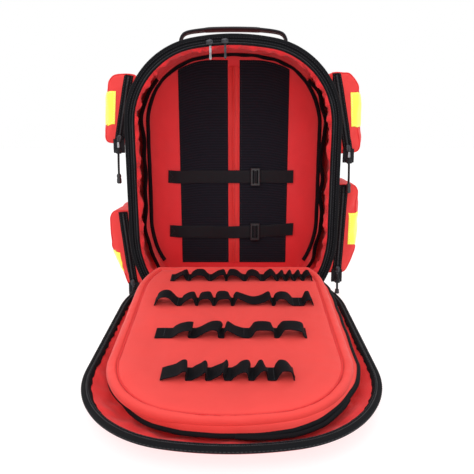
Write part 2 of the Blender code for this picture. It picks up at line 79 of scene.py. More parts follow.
PANEL_RISE, PANEL_SLOPE, PANEL_START = 0.036, 0.0896, 0.006
PANEL_INSET, PANEL_END_INSET = 0.024, 0.017
SEWN_Y = 0.0764             # the hidden face of what is sewn to the back wall
COIL_PITCH, LOOP_RIB = 0.0022, 0.0048          # along a zip, and up the loop tape
WIDE_WEBBING, NARROW_WEBBING = 0.0250, 0.0242

# the camera as fitted to the photo: focal length and image width in pixels, place, downward tilt
SENSOR_WIDTH, FOCAL_PIXELS, IMAGE_PIXELS = 36.0, 492.0, 474.0
CAMERA_PLACE, CAMERA_TILT = (0.006, -0.874, 0.315), 0.222


# ================================================================ camera, stage and light
def make_camera():
    data = bpy.data.cameras.new("camera")
    data.sensor_width = SENSOR_WIDTH
    data.lens = SENSOR_WIDTH * FOCAL_PIXELS / IMAGE_PIXELS
    camera = bpy.data.objects.new("camera", data)
    camera.location = CAMERA_PLACE
    camera.rotation_euler = (math.pi / 2 - CAMERA_TILT, 0.0, 0.0)
    bpy.context.scene.collection.objects.link(camera)
    bpy.context.scene.camera = camera


def area_light(name, location, target, size, power, colour=(1, 1, 1)):
    data = bpy.data.lights.new(name, "AREA")
    data.shape = "RECTANGLE"
    data.size, data.size_y = size
    data.energy = power
    data.color = colour
    light = bpy.data.objects.new(name, data)
    light.location = location
    light.rotation_euler = (Vector(target) - Vector(location)).to_track_quat("-Z", "Y").to_euler()
    bpy.context.scene.collection.objects.link(light)


def make_stage():
    floor_mesh = bpy.data.meshes.new("floor")
    floor_mesh.from_pydata([(-6, -6, 0), (6, -6, 0), (6, 6, 0), (-6, 6, 0)], [], [(0, 1, 2, 3)])
    floor = bpy.data.objects.new("floor", floor_mesh)
    bpy.context.scene.collection.objects.link(floor)
    paper = bpy.data.materials.new("floor_paper")
    paper.use_nodes = True
    shader = paper.node_tree.nodes["Principled BSDF"]
    shader.inputs["Base Color"].default_value = (0.36, 0.36, 0.36, 1)
    shader.inputs["Roughness"].default_value = 0.9
    shader.inputs["Specular IOR Level"].default_value = 0.1
    shader.inputs["Emission Color"].default_value = (1, 1, 1, 1)
    shader.inputs["Emission Strength"].default_value = 0.74
    floor_mesh.materials.append(paper)
    world = bpy.data.worlds.new("studio")
    bpy.context.scene.world = world
    world.use_nodes = True
    world.node_tree.nodes["Background"].inputs["Color"].default_value = (1, 1, 1, 1)
    world.node_tree.nodes["Background"].inputs["Strength"].default_value = 1.0
    area_light("key", (-0.5, -1.5, 1.7), (0, -0.1, 0.15), (1.4, 1.0), 8)
    area_light("top", (0.2, -0.3, 1.9), (0, -0.15, 0.1), (1.6, 1.2), 4)
    area_light("front", (0.3, -1.9, 0.55), (0, 0.05, 0.25), (1.2, 0.9), 4)
    bpy.context.scene.view_settings.view_transform = "Standard"


make_camera()
make_stage()


# ================================================================ materials
def new_material(name, colour, roughness, sheen=0.0, metallic=0.0, coat=0.0, specular=0.5, space="UV"):
    """A material, with its node tree, its shader and the coordinates its textures lie in."""
    made = bpy.data.materials.new(name)
    made.use_nodes = True
    shader = made.node_tree.nodes["Principled BSDF"]
    for socket, value in (("Base Color", (*colour, 1)), ("Roughness", roughness), ("Metallic", metallic),
                          ("Sheen Weight", sheen), ("Sheen Roughness", 0.45), ("Coat Weight", coat),
                          ("Specular IOR Level", specular)):
        shader.inputs[socket].default_value = value
    made.diffuse_color = (*colour, 1)
    return made, made.node_tree, shader, made.node_tree.nodes.new("ShaderNodeTexCoord").outputs[space]


def maths(tree, operation, a, b=0.0):
    made = tree.nodes.new("ShaderNodeMath")
    made.operation = operation
    for slot, value in zip(made.inputs, (a, b)):
        if hasattr(value, "is_output"):
            tree.links.new(value, slot)
        else:
            slot.default_value = value
    return made.outputs[0]


def wave(tree, coords, direction, period, profile="SIN"):
    """Straight bands across the cloth, with the period in metres."""
    made = tree.nodes.new("ShaderNodeTexWave")
    made.wave_type = "BANDS"
    made.bands_direction = direction
    made.wave_profile = profile
    made.inputs["Scale"].default_value = 2 * math.pi / (20 * period)
    made.inputs["Distortion"].default_value = 0.0
    tree.links.new(coords, made.inputs["Vector"])
    return made.outputs["Fac"]


def cells_map(tree, coords, scale, randomness, feature="F1"):
    """The distance from the middle, or the edge, of the cells that cover the surface."""
    made = tree.nodes.new("ShaderNodeTexVoronoi")
    made.feature = feature
    made.inputs["Scale"].default_value = scale
    made.inputs["Randomness"].default_value = randomness
    tree.links.new(coords, made.inputs["Vector"])
    return made.outputs["Distance"]


def noise_map(tree, coords, scale, detail=3.0, rough=0.55):
    made = tree.nodes.new("ShaderNodeTexNoise")
    made.inputs["Scale"].default_value = scale
    made.inputs["Detail"].default_value = detail
    made.inputs["Roughness"].default_value = rough
    tree.links.new(coords, made.inputs["Vector"])
    return made.outputs["Fac"]


def spread(tree, value, low, high, start=0.25, end=0.75):
    """A value from start to end spread between two numbers; noise mostly keeps within the defaults."""
    made = tree.nodes.new("ShaderNodeMapRange")
    for socket, number in (("From Min", start), ("From Max", end), ("To Min", low), ("To Max", high)):
        made.inputs[socket].default_value = number
    tree.links.new(value, made.inputs["Value"])
    return made.outputs["Result"]


def tint(tree, shader, colour, factors):
    """The base colour, made lighter and darker by factors multiplied together."""
    level = factors[0]
    for factor in factors[1:]:
        level = maths(tree, "MULTIPLY", level, factor)
    made = tree.nodes.new("ShaderNodeVectorMath")
    made.operation = "SCALE"
    made.inputs[0].default_value = colour
    tree.links.new(level, made.inputs["Scale"])
    tree.links.new(made.outputs[0], shader.inputs["Base Color"])


def wear_and_fold_shade(tree, amount):
    """Lighter on raised edges, as rubbed wear, and darker in folds and hollows, as painted shade."""
    pointiness = tree.nodes.new("ShaderNodeNewGeometry").outputs["Pointiness"]
    return spread(tree, pointiness, 1 - amount, 1 + amount, 0.44, 0.56)


def add_bump(tree, shader, height, strength, distance):
    bump = tree.nodes.new("ShaderNodeBump")
    bump.inputs["Strength"].default_value = strength
    bump.inputs["Distance"].default_value = distance
    tree.links.new(height, bump.inputs["Height"])
    tree.links.new(bump.outputs["Normal"], shader.inputs["Normal"])


def woven(name, colour, roughness=0.62, sheen=0.25, thread=0.0011, depth=0.00025, wear_and_shade=0.10, mottle=0.06):
    """Plain-woven nylon: over-and-under threads, faint creases and uneven dye."""
    made, tree, shader, coords = new_material(name, colour, roughness, sheen, specular=0.35)
    warp, weft = wave(tree, coords, "X", thread), wave(tree, coords, "Y", thread)
    cross = maths(tree, "ABSOLUTE", maths(tree, "SUBTRACT", warp, weft))
    creases = noise_map(tree, coords, 55.0, 4.0, 0.6)
    height = maths(tree, "ADD", cross, maths(tree, "MULTIPLY", creases, 2.2))
    add_bump(tree, shader, height, 0.35, depth)
    blotch = spread(tree, noise_map(tree, coords, 14.0), 1 - mottle, 1 + mottle)
    threads = spread(tree, cross, 0.965, 1.03)
    # the last tint factor: darker in folds, as painted shade, and lighter on raised edges, as wear
    tint(tree, shader, colour, [blotch, threads, wear_and_fold_shade(tree, wear_and_shade)])
    rough = spread(tree, noise_map(tree, coords, 40.0), roughness - 0.06, roughness + 0.08)
    tree.links.new(rough, shader.inputs["Roughness"])
    return made


def webbing(name, colour, rib=0.0022, roughness=0.7, sheen=0.05, specular=0.22):
    """Heavy ribbed webbing with a herringbone of ribs across it."""
    made, tree, shader, coords = new_material(name, colour, roughness, sheen, specular=specular)
    ribs = wave(tree, coords, "Y", rib)
    twill = wave(tree, coords, "DIAGONAL", rib * 0.62)
    height = maths(tree, "ADD", ribs, maths(tree, "MULTIPLY", twill, 0.6))
    fuzz = noise_map(tree, coords, 1400.0, 2.0, 0.7)
    add_bump(tree, shader, maths(tree, "ADD", height, maths(tree, "MULTIPLY", fuzz, 0.5)), 0.55, 0.0004)
    # the last tint factor: darker in folds, as painted shade, and lighter on raised edges, as wear
    tint(tree, shader, colour,
         [spread(tree, ribs, 0.75, 1.25), spread(tree, fuzz, 0.85, 1.15), wear_and_fold_shade(tree, 0.25)])
    return made


def loop_pile(name, colour):
    """Matt loop pile, in faint ribs across the panel."""
    made, tree, shader, coords = new_material(name, colour, 0.95, 0.10, specular=0.10)
    pile = noise_map(tree, coords, 900.0, 3.0, 0.75)
    ribs = wave(tree, coords, "Y", LOOP_RIB)
    height = maths(tree, "ADD", pile, maths(tree, "MULTIPLY", ribs, 0.7))
    add_bump(tree, shader, height, 0.7, 0.0007)
    tint(tree, shader, colour, [spread(tree, ribs, 0.80, 1.20), spread(tree, pile, 0.7, 1.3)])
    return made


def spacer_mesh(name, colour):
    """Air mesh: a net of small round holes."""
    made, tree, shader, coords = new_material(name, colour, 0.85, 0.10, specular=0.2)
    cells = cells_map(tree, coords, 380.0, 0.12)
    add_bump(tree, shader, cells, 0.8, 0.0008)
    tint(tree, shader, colour,
         [spread(tree, cells, 0.35, 1.35), spread(tree, noise_map(tree, coords, 30.0), 0.85, 1.15)])
    return made


def moulded(name, colour, roughness=0.42):
    """Injection-moulded plastic with a fine spark texture, rubbed lighter edges and painted shade darkening
    its hollows.
    """
    made, tree, shader, coords = new_material(name, colour, roughness, space="Object")
    grain = noise_map(tree, coords, 1600.0, 3.0, 0.7)
    add_bump(tree, shader, grain, 0.25, 0.00012)
    tint(tree, shader, colour,
         [spread(tree, noise_map(tree, coords, 120.0), 0.88, 1.12), wear_and_fold_shade(tree, 0.5)])
    tree.links.new(spread(tree, grain, roughness - 0.08, roughness + 0.1), shader.inputs["Roughness"])
    return made


def metal(name, colour, roughness=0.32):
    """Plated zinc with hairline scratches."""
    made, tree, shader, coords = new_material(name, colour, roughness, metallic=1.0, space="Object")
    stretch = tree.nodes.new("ShaderNodeMapping")
    stretch.inputs["Scale"].default_value = (1600.0, 300.0, 90.0)
    tree.links.new(coords, stretch.inputs["Vector"])
    scratches = noise_map(tree, stretch.outputs[0], 1.0, 2.0, 0.5)
    add_bump(tree, shader, scratches, 0.12, 0.00008)
    # the last tint factor: lighter on raised edges, as wear, and darker in hollows, as painted shade
    tint(tree, shader, colour, [spread(tree, scratches, 0.85, 1.12), wear_and_fold_shade(tree, 0.35)])
    tree.links.new(spread(tree, scratches, roughness - 0.1, roughness + 0.14), shader.inputs["Roughness"])
    return made


def reflective(name, colour):
    """Fluorescent vinyl with a fine honeycomb of prisms under a clear skin."""
    made, tree, shader, coords = new_material(name, colour, 0.35, coat=0.4, specular=0.6)
    cells = cells_map(tree, coords, 300.0, 0.0, "DISTANCE_TO_EDGE")
    walls = spread(tree, cells, 1.06, 0.97, 0.0, 0.12)
    add_bump(tree, shader, cells, 0.2, 0.0002)
    tint(tree, shader, colour, [walls, spread(tree, noise_map(tree, coords, 40.0), 0.96, 1.03)])
    return made


RED = (0.74, 0.036, 0.034)
MAT = {
    "red": woven("red_nylon_cloth", RED, 0.62, 0.12),
    # painted light: a lighter copy of the red nylon, with more green and blue, for the open organiser flap
    "red_bright": woven("red_nylon_lit_copy", (0.76, 0.052, 0.044), 0.64, 0.12, 0.0010, 0.0002, 0.10, 0.05),
    "lining": woven("red_lining_cloth", (0.86, 0.033, 0.040), 0.55, 0.12, 0.0008, 0.0002, 0.10),
    # painted light: a copy of the red lining, tuned brighter for the lid's open tray
    "lining_bright": woven("red_lining_lit_copy", (0.84, 0.036, 0.038), 0.58, 0.12, 0.0009, 0.0002, 0.12, 0.07),
    "red_cord": woven("red_piping_cloth", (0.70, 0.028, 0.028), 0.6, 0.1, 0.0009),
    "black_cloth": woven("black_nylon_cloth", (0.010, 0.010, 0.013), 0.65, 0.06, 0.0010, 0.0003, 0.30, 0.15),
    "webbing": webbing("black_webbing_weave", (0.009, 0.009, 0.012)),
    "elastic": webbing("black_elastic_weave", (0.0040, 0.0040, 0.0056), 0.0016, 0.7, 0.01, 0.10),
    "binding": webbing("black_binding_weave", (0.0045, 0.0050, 0.0070), 0.0012, 0.65, 0.01, 0.12),
    "zip_tape": webbing("black_zip_weave", (0.0036, 0.0038, 0.0052), 0.0013, 0.7, 0.01, 0.12),
    "coil": moulded("black_coil", (0.014, 0.014, 0.017), 0.34),
    "loop": loop_pile("black_loop_pile", (0.012, 0.012, 0.018)),
    "mesh": spacer_mesh("black_air_mesh", (0.016, 0.016, 0.019)),
    "cord": webbing("black_cord_braid", (0.010, 0.010, 0.012), 0.0015, 0.6, 0.04),
    "plastic": moulded("black_acetal", (0.012, 0.012, 0.014)),
    "frame_plastic": moulded("frame_polythene", (0.04, 0.04, 0.045), 0.5),
    "dark_metal": metal("lacquered_zinc", (0.045, 0.045, 0.050), 0.30),
    "grey_metal": metal("nickel_zinc", (0.24, 0.24, 0.25), 0.38),
    "yellow": reflective("fluorescent_vinyl", (0.92, 0.93, 0.06)),
    "red_thread": moulded("red_thread", (0.46, 0.016, 0.016), 0.6),
    "black_thread": moulded("black_thread", (0.022, 0.022, 0.026), 0.6),
    "white_thread": moulded("pale_thread", (0.75, 0.76, 0.30), 0.6),
}


# ================================================================ mesh building
class Shape:
    """Points, faces, UVs in metres and a material number for each face."""

    def __init__(self):
        self.points, self.faces, self.uvs, self.picks = [], [], [], []
        self.count = 0

    def add(self, points, faces, uvs, picks):
        for face in faces:
            self.faces.append([corner + self.count for corner in face])
        self.points.append(np.asarray(points, float).reshape(-1, 3))
        self.uvs += uvs
        self.picks += picks
        self.count += len(self.points[-1])
        return self

    def join(self, other):
        return self.add(np.vstack(other.points), other.faces, other.uvs, other.picks)

    def mapped(self, change):
        self.points = [change(np.vstack(self.points))]
        return self


def grid(rows, wrap_rows=False, wrap_cols=False, caps=False, pick_rows=None):
    """A skin through rows of points, closed either way if asked, with flat ends if caps.

    pick_rows holds each row's material number; without it all faces take the first.
    """
    p = np.asarray(rows, float)
    n, m = p.shape[:2]
    down = np.concatenate([[0], np.cumsum(np.linalg.norm(np.diff(p, axis=0), axis=2).mean(1))])
    over = np.concatenate([[0], np.cumsum(np.linalg.norm(np.diff(p, axis=1), axis=2).mean(0))])
    down = np.append(down, down[-1] + np.linalg.norm(p[0] - p[-1], axis=1).mean())
    over = np.append(over, over[-1] + np.linalg.norm(p[:, 0] - p[:, -1], axis=1).mean())
    faces, uvs, picks = [], [], []
    for i in range(n if wrap_rows else n - 1):
        i2 = (i + 1) % n
        for j in range(m if wrap_cols else m - 1):
            j2 = (j + 1) % m
            faces.append((i * m + j, i2 * m + j, i2 * m + j2, i * m + j2))
            uvs += [(over[j], down[i]), (over[j], down[i + 1]), (over[j + 1], down[i + 1]),
                    (over[j + 1], down[i])]
            picks.append(0 if pick_rows is None else pick_rows[i])
    if caps:
        for i in (0, n - 1):
            faces.append([i * m + j for j in range(m)])
            uvs += [(over[j], down[i]) for j in range(m)]
            picks.append(0 if pick_rows is None else pick_rows[min(i, n - 2)])
    return Shape().add(p.reshape(-1, 3), faces, uvs, picks)


def closed_skin(rows):
    """Rows of points closed round into a tube with flat ends."""
    return grid(rows, wrap_cols=True, caps=True)


def circle(count):
    """Angles evenly spaced round a circle."""
    return np.linspace(0, 2 * math.pi, count, endpoint=False)


def face_outwards(mesh, close_rim=False):
    """Turn a mesh's faces outwards, first joining its two open edges if asked."""
    work = bmesh.new()
    work.from_mesh(mesh)
    if close_rim:
        bmesh.ops.bridge_loops(work, edges=[e for e in work.edges if len(e.link_faces) == 1])
    bmesh.ops.recalc_face_normals(work, faces=work.faces)
    work.to_mesh(mesh)
    work.free()


def add(name, shape, materials, body, slot=None, replaces=(), smooth=45, flip_check=True):
    """Link a shape as a named piece that rides on a body."""
    mesh = bpy.data.meshes.new(name)
    mesh.from_pydata(np.vstack(shape.points).tolist(), [], shape.faces)
    layer = mesh.uv_layers.new(name="UVMap")
    layer.data.foreach_set("uv", np.asarray(shape.uvs, np.float32).ravel())
    mesh.polygons.foreach_set("material_index", shape.picks)
    for material in materials if isinstance(materials, (list, tuple)) else [materials]:
        mesh.materials.append(MAT[material])
    if flip_check:
        face_outwards(mesh)
    mesh.shade_smooth()
    mesh.set_sharp_from_angle(angle=math.radians(smooth))
    made = bpy.data.objects.new(name, mesh)
    bpy.context.scene.collection.objects.link(made)
    if body:
        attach(made, body)
    if replaces:
        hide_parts(*([replaces] if isinstance(replaces, str) else replaces))
    return made


def sew(name, shape, thread, body, slot):
    """Link rows of stitches, whose faces already point outwards, as a named piece."""
    return add(name, shape, thread, body, slot, flip_check=False)


def ripples(seed, size, count=7):
    """A smooth random field over two numbers, from -1 to 1, with lumps about that size."""
    dice = np.random.RandomState(seed)
    angle = dice.uniform(0, 2 * math.pi, count)
    pace = 2 * math.pi / (size * dice.uniform(0.7, 1.8, count))
    phase = dice.uniform(0, 2 * math.pi, count)

    def field(a, b):
        total = 0.0
        for k in range(count):
            total = total + np.sin(pace[k] * (np.cos(angle[k]) * a + np.sin(angle[k]) * b) + phase[k])
        return total / count * 1.6
    return field


def resample(points, step):
    """Points spaced evenly along a polyline."""
    p = np.asarray(points, float)
    along = np.concatenate([[0], np.cumsum(np.linalg.norm(np.diff(p, axis=0), axis=1))])
    number = max(2, int(round(along[-1] / step)) + 1)
    marks = np.linspace(0, along[-1], number)
    return np.stack([np.interp(marks, along, p[:, k]) for k in range(p.shape[1])], 1)


def curve_through(points, step=0.003):
    """A smooth curve through points, spaced evenly."""
    p = np.asarray(points, float)
    ends = np.vstack([2 * p[0] - p[1], p, 2 * p[-1] - p[-2]])
    made = []
    for a, b, c, d in zip(ends, ends[1:], ends[2:], ends[3:]):
        for t in np.linspace(0, 1, 24, endpoint=False):
            made.append(0.5 * (2 * b + (c - a) * t + (2 * a - 5 * b + 4 * c - d) * t * t
                               + (3 * b - a - 3 * c + d) * t ** 3))
    made.append(p[-1])
    return resample(made, step)


def headings(path, closed=False):
    """The unit direction along a path at each point."""
    p = np.asarray(path, float)
    if closed:
        d = np.roll(p, -1, 0) - np.roll(p, 1, 0)
    else:
        d = np.gradient(p, axis=0)
    return d / np.maximum(np.linalg.norm(d, axis=1, keepdims=True), 1e-12)


def unit(v):
    v = np.asarray(v, float)
    return v / np.maximum(np.linalg.norm(v, axis=-1, keepdims=True), 1e-12)


def flat_section(width, thick, steps=8, corner=0.45):
    """A flat strap's rounded cross-section: (across, out) points."""
    half, deep = width / 2, thick / 2
    r = thick * corner
    across = np.linspace(-half + r, half - r, steps)
    top = [(x, deep) for x in across]
    right = [(half - r + r * math.cos(a), (deep - r) + r * math.sin(a)) for a in (math.pi / 4, 0)]
    right += [(half - r + r * math.cos(a), -(deep - r) + r * math.sin(a)) for a in (0, -math.pi / 4)]
    bottom = [(x, -deep) for x in across[::-1]]
    left = [(-half + r + r * math.cos(a), -(deep - r) + r * math.sin(a)) for a in (-3 * math.pi / 4, math.pi)]
    left += [(-half + r + r * math.cos(a), (deep - r) + r * math.sin(a)) for a in (math.pi, 3 * math.pi / 4)]
    return np.array(top + right + bottom + left)


def strap(path, width, thick, across, closed=False):
    """A flat strap along a path. across is one direction or one for each point."""
    path = np.asarray(path, float)
    along = headings(path, closed)
    side = np.broadcast_to(np.asarray(across, float), path.shape)
    side = unit(side - (side * along).sum(1, keepdims=True) * along)
    out = np.cross(along, side)
    widths = np.broadcast_to(width, (len(path),))
    rows = []
    for k in range(len(path)):
        section = flat_section(widths[k], thick)
        rows.append(path[k] + section[:, :1] * side[k] + section[:, 1:2] * out[k])
    return grid(rows, wrap_rows=closed, wrap_cols=True, caps=not closed)


def tube(path, radius, sides=10, closed=False, radii=None):
    """A round cord or a bead along a path."""
    path = np.asarray(path, float)
    along = headings(path, closed)
    start = np.array([0.0, 0.0, 1.0]) if abs(along[0][2]) < 0.9 else np.array([1.0, 0.0, 0.0])
    side = unit(np.cross(along[0], start))
    turn = circle(sides)
    rows = []
    for k in range(len(path)):
        side = unit(side - (side @ along[k]) * along[k])
        up = np.cross(along[k], side)
        r = radius if radii is None else radii[k]
        rows.append(path[k] + r * (np.cos(turn)[:, None] * side + np.sin(turn)[:, None] * up))
    return grid(rows, wrap_rows=closed, wrap_cols=True, caps=not closed)


def stitches(path, normals, length=0.0028, gap=0.0013, radius=0.00028):
    """A row of thread stitches lying on a surface."""
    path = np.asarray(path, float)
    normals = np.broadcast_to(np.asarray(normals, float), path.shape)
    along = np.concatenate([[0], np.cumsum(np.linalg.norm(np.diff(path, axis=0), axis=1))])
    made = Shape()
    mark = gap
    turn = circle(6)
    while mark + length < along[-1]:
        marks = np.array([mark, mark + length * 0.25, mark + length * 0.75, mark + length])
        centre = np.stack([np.interp(marks, along, path[:, k]) for k in range(3)], 1)
        up = unit(np.stack([np.interp(marks, along, normals[:, k]) for k in range(3)], 1))
        sizes = radius * np.array([0.45, 1.0, 1.0, 0.45])
        lift = radius * np.array([-0.6, 0.5, 0.5, -0.6])
        run = unit(centre[-1] - centre[0])
        side = unit(np.cross(run, up))
        rows = [centre[k] + lift[k] * up[k]
                + sizes[k] * (np.cos(turn)[:, None] * side[k] + np.sin(turn)[:, None] * up[k])
                for k in range(4)]
        made.join(closed_skin(rows))
        mark += length + gap
    return made


# ================================================================ the bag's outline
def half_outline():
    lines = []
    for t in np.linspace(0, 1, 60, endpoint=False):
        lines.append((CORNER_X * t, BASE_Z, 0.0, -1.0))
    for a in np.linspace(-math.pi / 2, 0, 260, endpoint=False):
        n = unit((math.cos(a) / CORNER_WIDTH, math.sin(a) / CORNER_HEIGHT))
        lines.append((CORNER_X + CORNER_WIDTH * math.cos(a), CORNER_Z + CORNER_HEIGHT * math.sin(a), *n))
    for t in np.linspace(0, 1, 120, endpoint=False):
        lines.append((HALF_WIDTH, CORNER_Z + (SHOULDER_Z - CORNER_Z) * t, 1.0, 0.0))
    for a in np.linspace(0, math.pi / 2 - CROWN_SPAN, 220, endpoint=False):
        lines.append((SHOULDER_X + SHOULDER_RADIUS * math.cos(a), SHOULDER_Z + SHOULDER_RADIUS * math.sin(a),
                      math.cos(a), math.sin(a)))
    for a in np.linspace(math.pi / 2 - CROWN_SPAN, math.pi / 2, 60):
        lines.append((CROWN_RADIUS * math.cos(a), CROWN_Z + CROWN_RADIUS * math.sin(a), math.cos(a),
                      math.sin(a)))
    return np.array(lines)


RIGHT = half_outline()
RING = np.vstack([RIGHT, RIGHT[-2::-1] * [-1, 1, -1, 1]])
RING_S = np.concatenate([[0], np.cumsum(np.linalg.norm(np.diff(RING[:, :2], axis=0), axis=1))])
AROUND = RING_S[-1]

# points of the half outline: just past the base, just below the shoulder, and part way round it
SIDE_FROM, CROWN_FROM, SIDE_TO = 61, 420, 520


def distance_to(z):
    """How far round the outline, from the base's centre, the right side reaches a height."""
    k = SIDE_FROM + int(np.argmin(np.abs(RIGHT[SIDE_FROM:, 1] - z)))
    return RING_S[k]


def distance_to_x(x):
    """How far round the outline the crown's right half is a distance from the middle."""
    k = CROWN_FROM + int(np.argmin(np.abs(RIGHT[CROWN_FROM:, 0] - x)))
    return RING_S[k]


def edge_at(s):
    """The outline's x and z at a distance round it, and its own direction there."""
    s = np.mod(np.asarray(s, float), AROUND)
    got = [np.interp(s, RING_S, RING[:, k]) for k in range(4)]
    size = np.hypot(got[2], got[3])
    return got[0], got[1], got[2] / size, got[3] / size


def edge_ring(s, inset, y, lowest=None):
    """Points on the outline moved in by inset, at depth y. All may be arrays as long as s."""
    x, z, nx, nz = edge_at(s)
    px, pz = x - nx * inset, z - nz * inset
    if lowest is not None:
        pz = np.maximum(pz, lowest)
    return np.stack([px, np.broadcast_to(y, px.shape), pz], -1)


def outward(s):
    """The outline's own direction at each distance, as (x, 0, z)."""
    nx, nz = edge_at(s)[2:]
    return np.stack([nx, 0 * nx, nz], 1)


S_SILL = distance_to(SILL_Z)
LOOP = np.linspace(0, AROUND, 341)[:-1]


def sweep(s, section):
    """A closed section of (inset, y) corners swept along the outline; insets and ys may be arrays along s."""
    return closed_skin(np.stack([edge_ring(s, inset, y) for inset, y in section], 1))


def coil_teeth(marks, radius, swell):
    """A zip coil's radius along it, thick and thin by turns."""
    return radius + swell * np.sign(np.sin(2 * math.pi * marks / COIL_PITCH))


def lid_to_world(points):
    """From the lid's own frame, where it is shut, measured from its hinge, to where it lies open."""
    p = np.asarray(points, float)
    c, s = math.cos(OPEN_ANGLE), math.sin(OPEN_ANGLE)
    return np.stack([p[..., 0], HINGE_Y + p[..., 1] * c - p[..., 2] * s,
                     HINGE_Z + p[..., 1] * s + p[..., 2] * c], -1)


def lid_direction(direction):
    """A direction in the lid's own frame, as it is where the lid lies open."""
    return lid_to_world(direction) - lid_to_world(np.zeros(3))


def from_hinge(points):
    """World points of the shut lid, measured from its hinge."""
    return np.asarray(points, float) - np.array([0.0, HINGE_Y, HINGE_Z])


# ================================================================ bag body
def build_bag_body():
    """The gusset, its lining and the back wall, as one soft closed skin."""
    outer, inner = ripples(3, 0.085), ripples(5, 0.045)
    fine = ripples(8, 0.020)
    rows, picks = [], []
    s = LOOP
    centre = np.array([0.0, 0.0, 0.225])

    def swell(marks, y):
        """The gusset's inset: negative, as it stands out, and nothing at its front, back and bottom."""
        ease = np.clip(min(y - FRONT_Y - 0.002, BACK_Y - 0.010 - y) / 0.018, 0, 1)
        up = np.clip((edge_at(marks)[1] - 0.010) / 0.05, 0.0, 1)
        return -ease * up * (0.0011 * outer(marks, y * 1.6) + 0.0004 * fine(marks, y) + 0.0006)

    def back_rows(y, keeps, seed, lift):
        """Rings from the middle of a back sheet to its edge, or the other way."""
        field = ripples(seed, 0.10)
        edge = edge_ring(s, 0.018, y)
        for keep in keeps:
            ring = centre + (edge - centre) * [keep, 1, keep]
            ring[:, 1] = y + lift * field(ring[:, 0], ring[:, 2])
            yield ring

    for ring in back_rows(LINING_Y, (0.04, 0.2, 0.4, 0.6, 0.8, 0.92, 1.0), 21, 0.0004):
        rows.append(ring)
        picks.append(1)
    rows.append(edge_ring(s, 0.0085, LINING_Y - 0.0018))
    picks.append(1)
    for y in np.linspace(BACK_Y - 0.014, FRONT_Y + 0.0030, 26):
        ease = np.clip(min(y - FRONT_Y, BACK_Y - 0.010 - y) / 0.02, 0, 1)
        low = np.clip((edge_at(s)[1] - 0.02) / 0.05, 0.25, 1)
        inset = WALL + 0.0008 + ease * low * (0.0016 * inner(s, y) + 0.0007 * fine(s, y) + 0.0012)
        rows.append(edge_ring(s, inset, y))
        picks.append(1)
    rows.append(edge_ring(s, 0.0140, FRONT_Y + 0.0024, SILL_Z))
    rows.append(edge_ring(s, 0.0140, FRONT_Y + 0.0006, SILL_Z))
    rows.append(edge_ring(s, 0.0006, FRONT_Y + 0.0004))
    picks += [1, 0, 0]
    for y in np.linspace(FRONT_Y + 0.003, BACK_Y - 0.012, 34):
        rows.append(edge_ring(s, swell(s, y), y))
        picks.append(0)
    rows.append(edge_ring(s, 0.0018, BACK_Y - 0.0065))
    rows.append(edge_ring(s, 0.0055, BACK_Y - 0.0022))
    rows.append(edge_ring(s, 0.012, BACK_Y - 0.0004))
    picks += [0, 0, 0]
    for ring in back_rows(BACK_Y - 0.0001, (1.0, 0.9, 0.7, 0.45, 0.2, 0.04), 33, 0.0003):
        rows.append(ring)
        picks.append(0)
    shape = grid(np.array(rows), wrap_cols=True, caps=True, pick_rows=picks)
    add("bag_body", shape, ["red", "lining"], "bag", "red_nylon", "bag_shell")

    # piping where the gusset meets the back, and a binding round the front edge
    path = edge_ring(np.linspace(0, AROUND, 420)[:-1], -0.0004, BACK_Y - 0.0075)
    add("back_piping", tube(path, 0.0019, 8, closed=True), "binding", "bag", "black_webbing")
    s_front = np.linspace(S_SILL - 0.006, AROUND - S_SILL + 0.006, 360)
    section = [(0.0006, FRONT_Y - 0.0002), (-0.0013, FRONT_Y + 0.0004), (-0.0021, FRONT_Y + 0.0022),
               (-0.0022, FRONT_Y + 0.0060), (-0.0020, FRONT_Y + 0.0098), (-0.0008, FRONT_Y + 0.0106),
               (0.0004, FRONT_Y + 0.0104), (0.0006, FRONT_Y + 0.004)]
    add("front_binding", sweep(s_front, section), "binding", "bag", "black_webbing")
    path = edge_ring(s_front, -0.0021, FRONT_Y + 0.0084)
    sew("front_binding_stitching", stitches(path, outward(s_front)), "black_thread", "bag", "black_webbing")
    for label, y in (("front", FRONT_Y + 0.022), ("back", BACK_Y - 0.024)):
        marks = np.linspace(distance_to(0.030), AROUND - distance_to(0.030), 420)
        sew(f"gusset_seam_{label}", stitches(edge_ring(marks, swell(marks, y) - 0.0002, y), outward(marks)),
            "red_thread", "bag", "red_nylon")


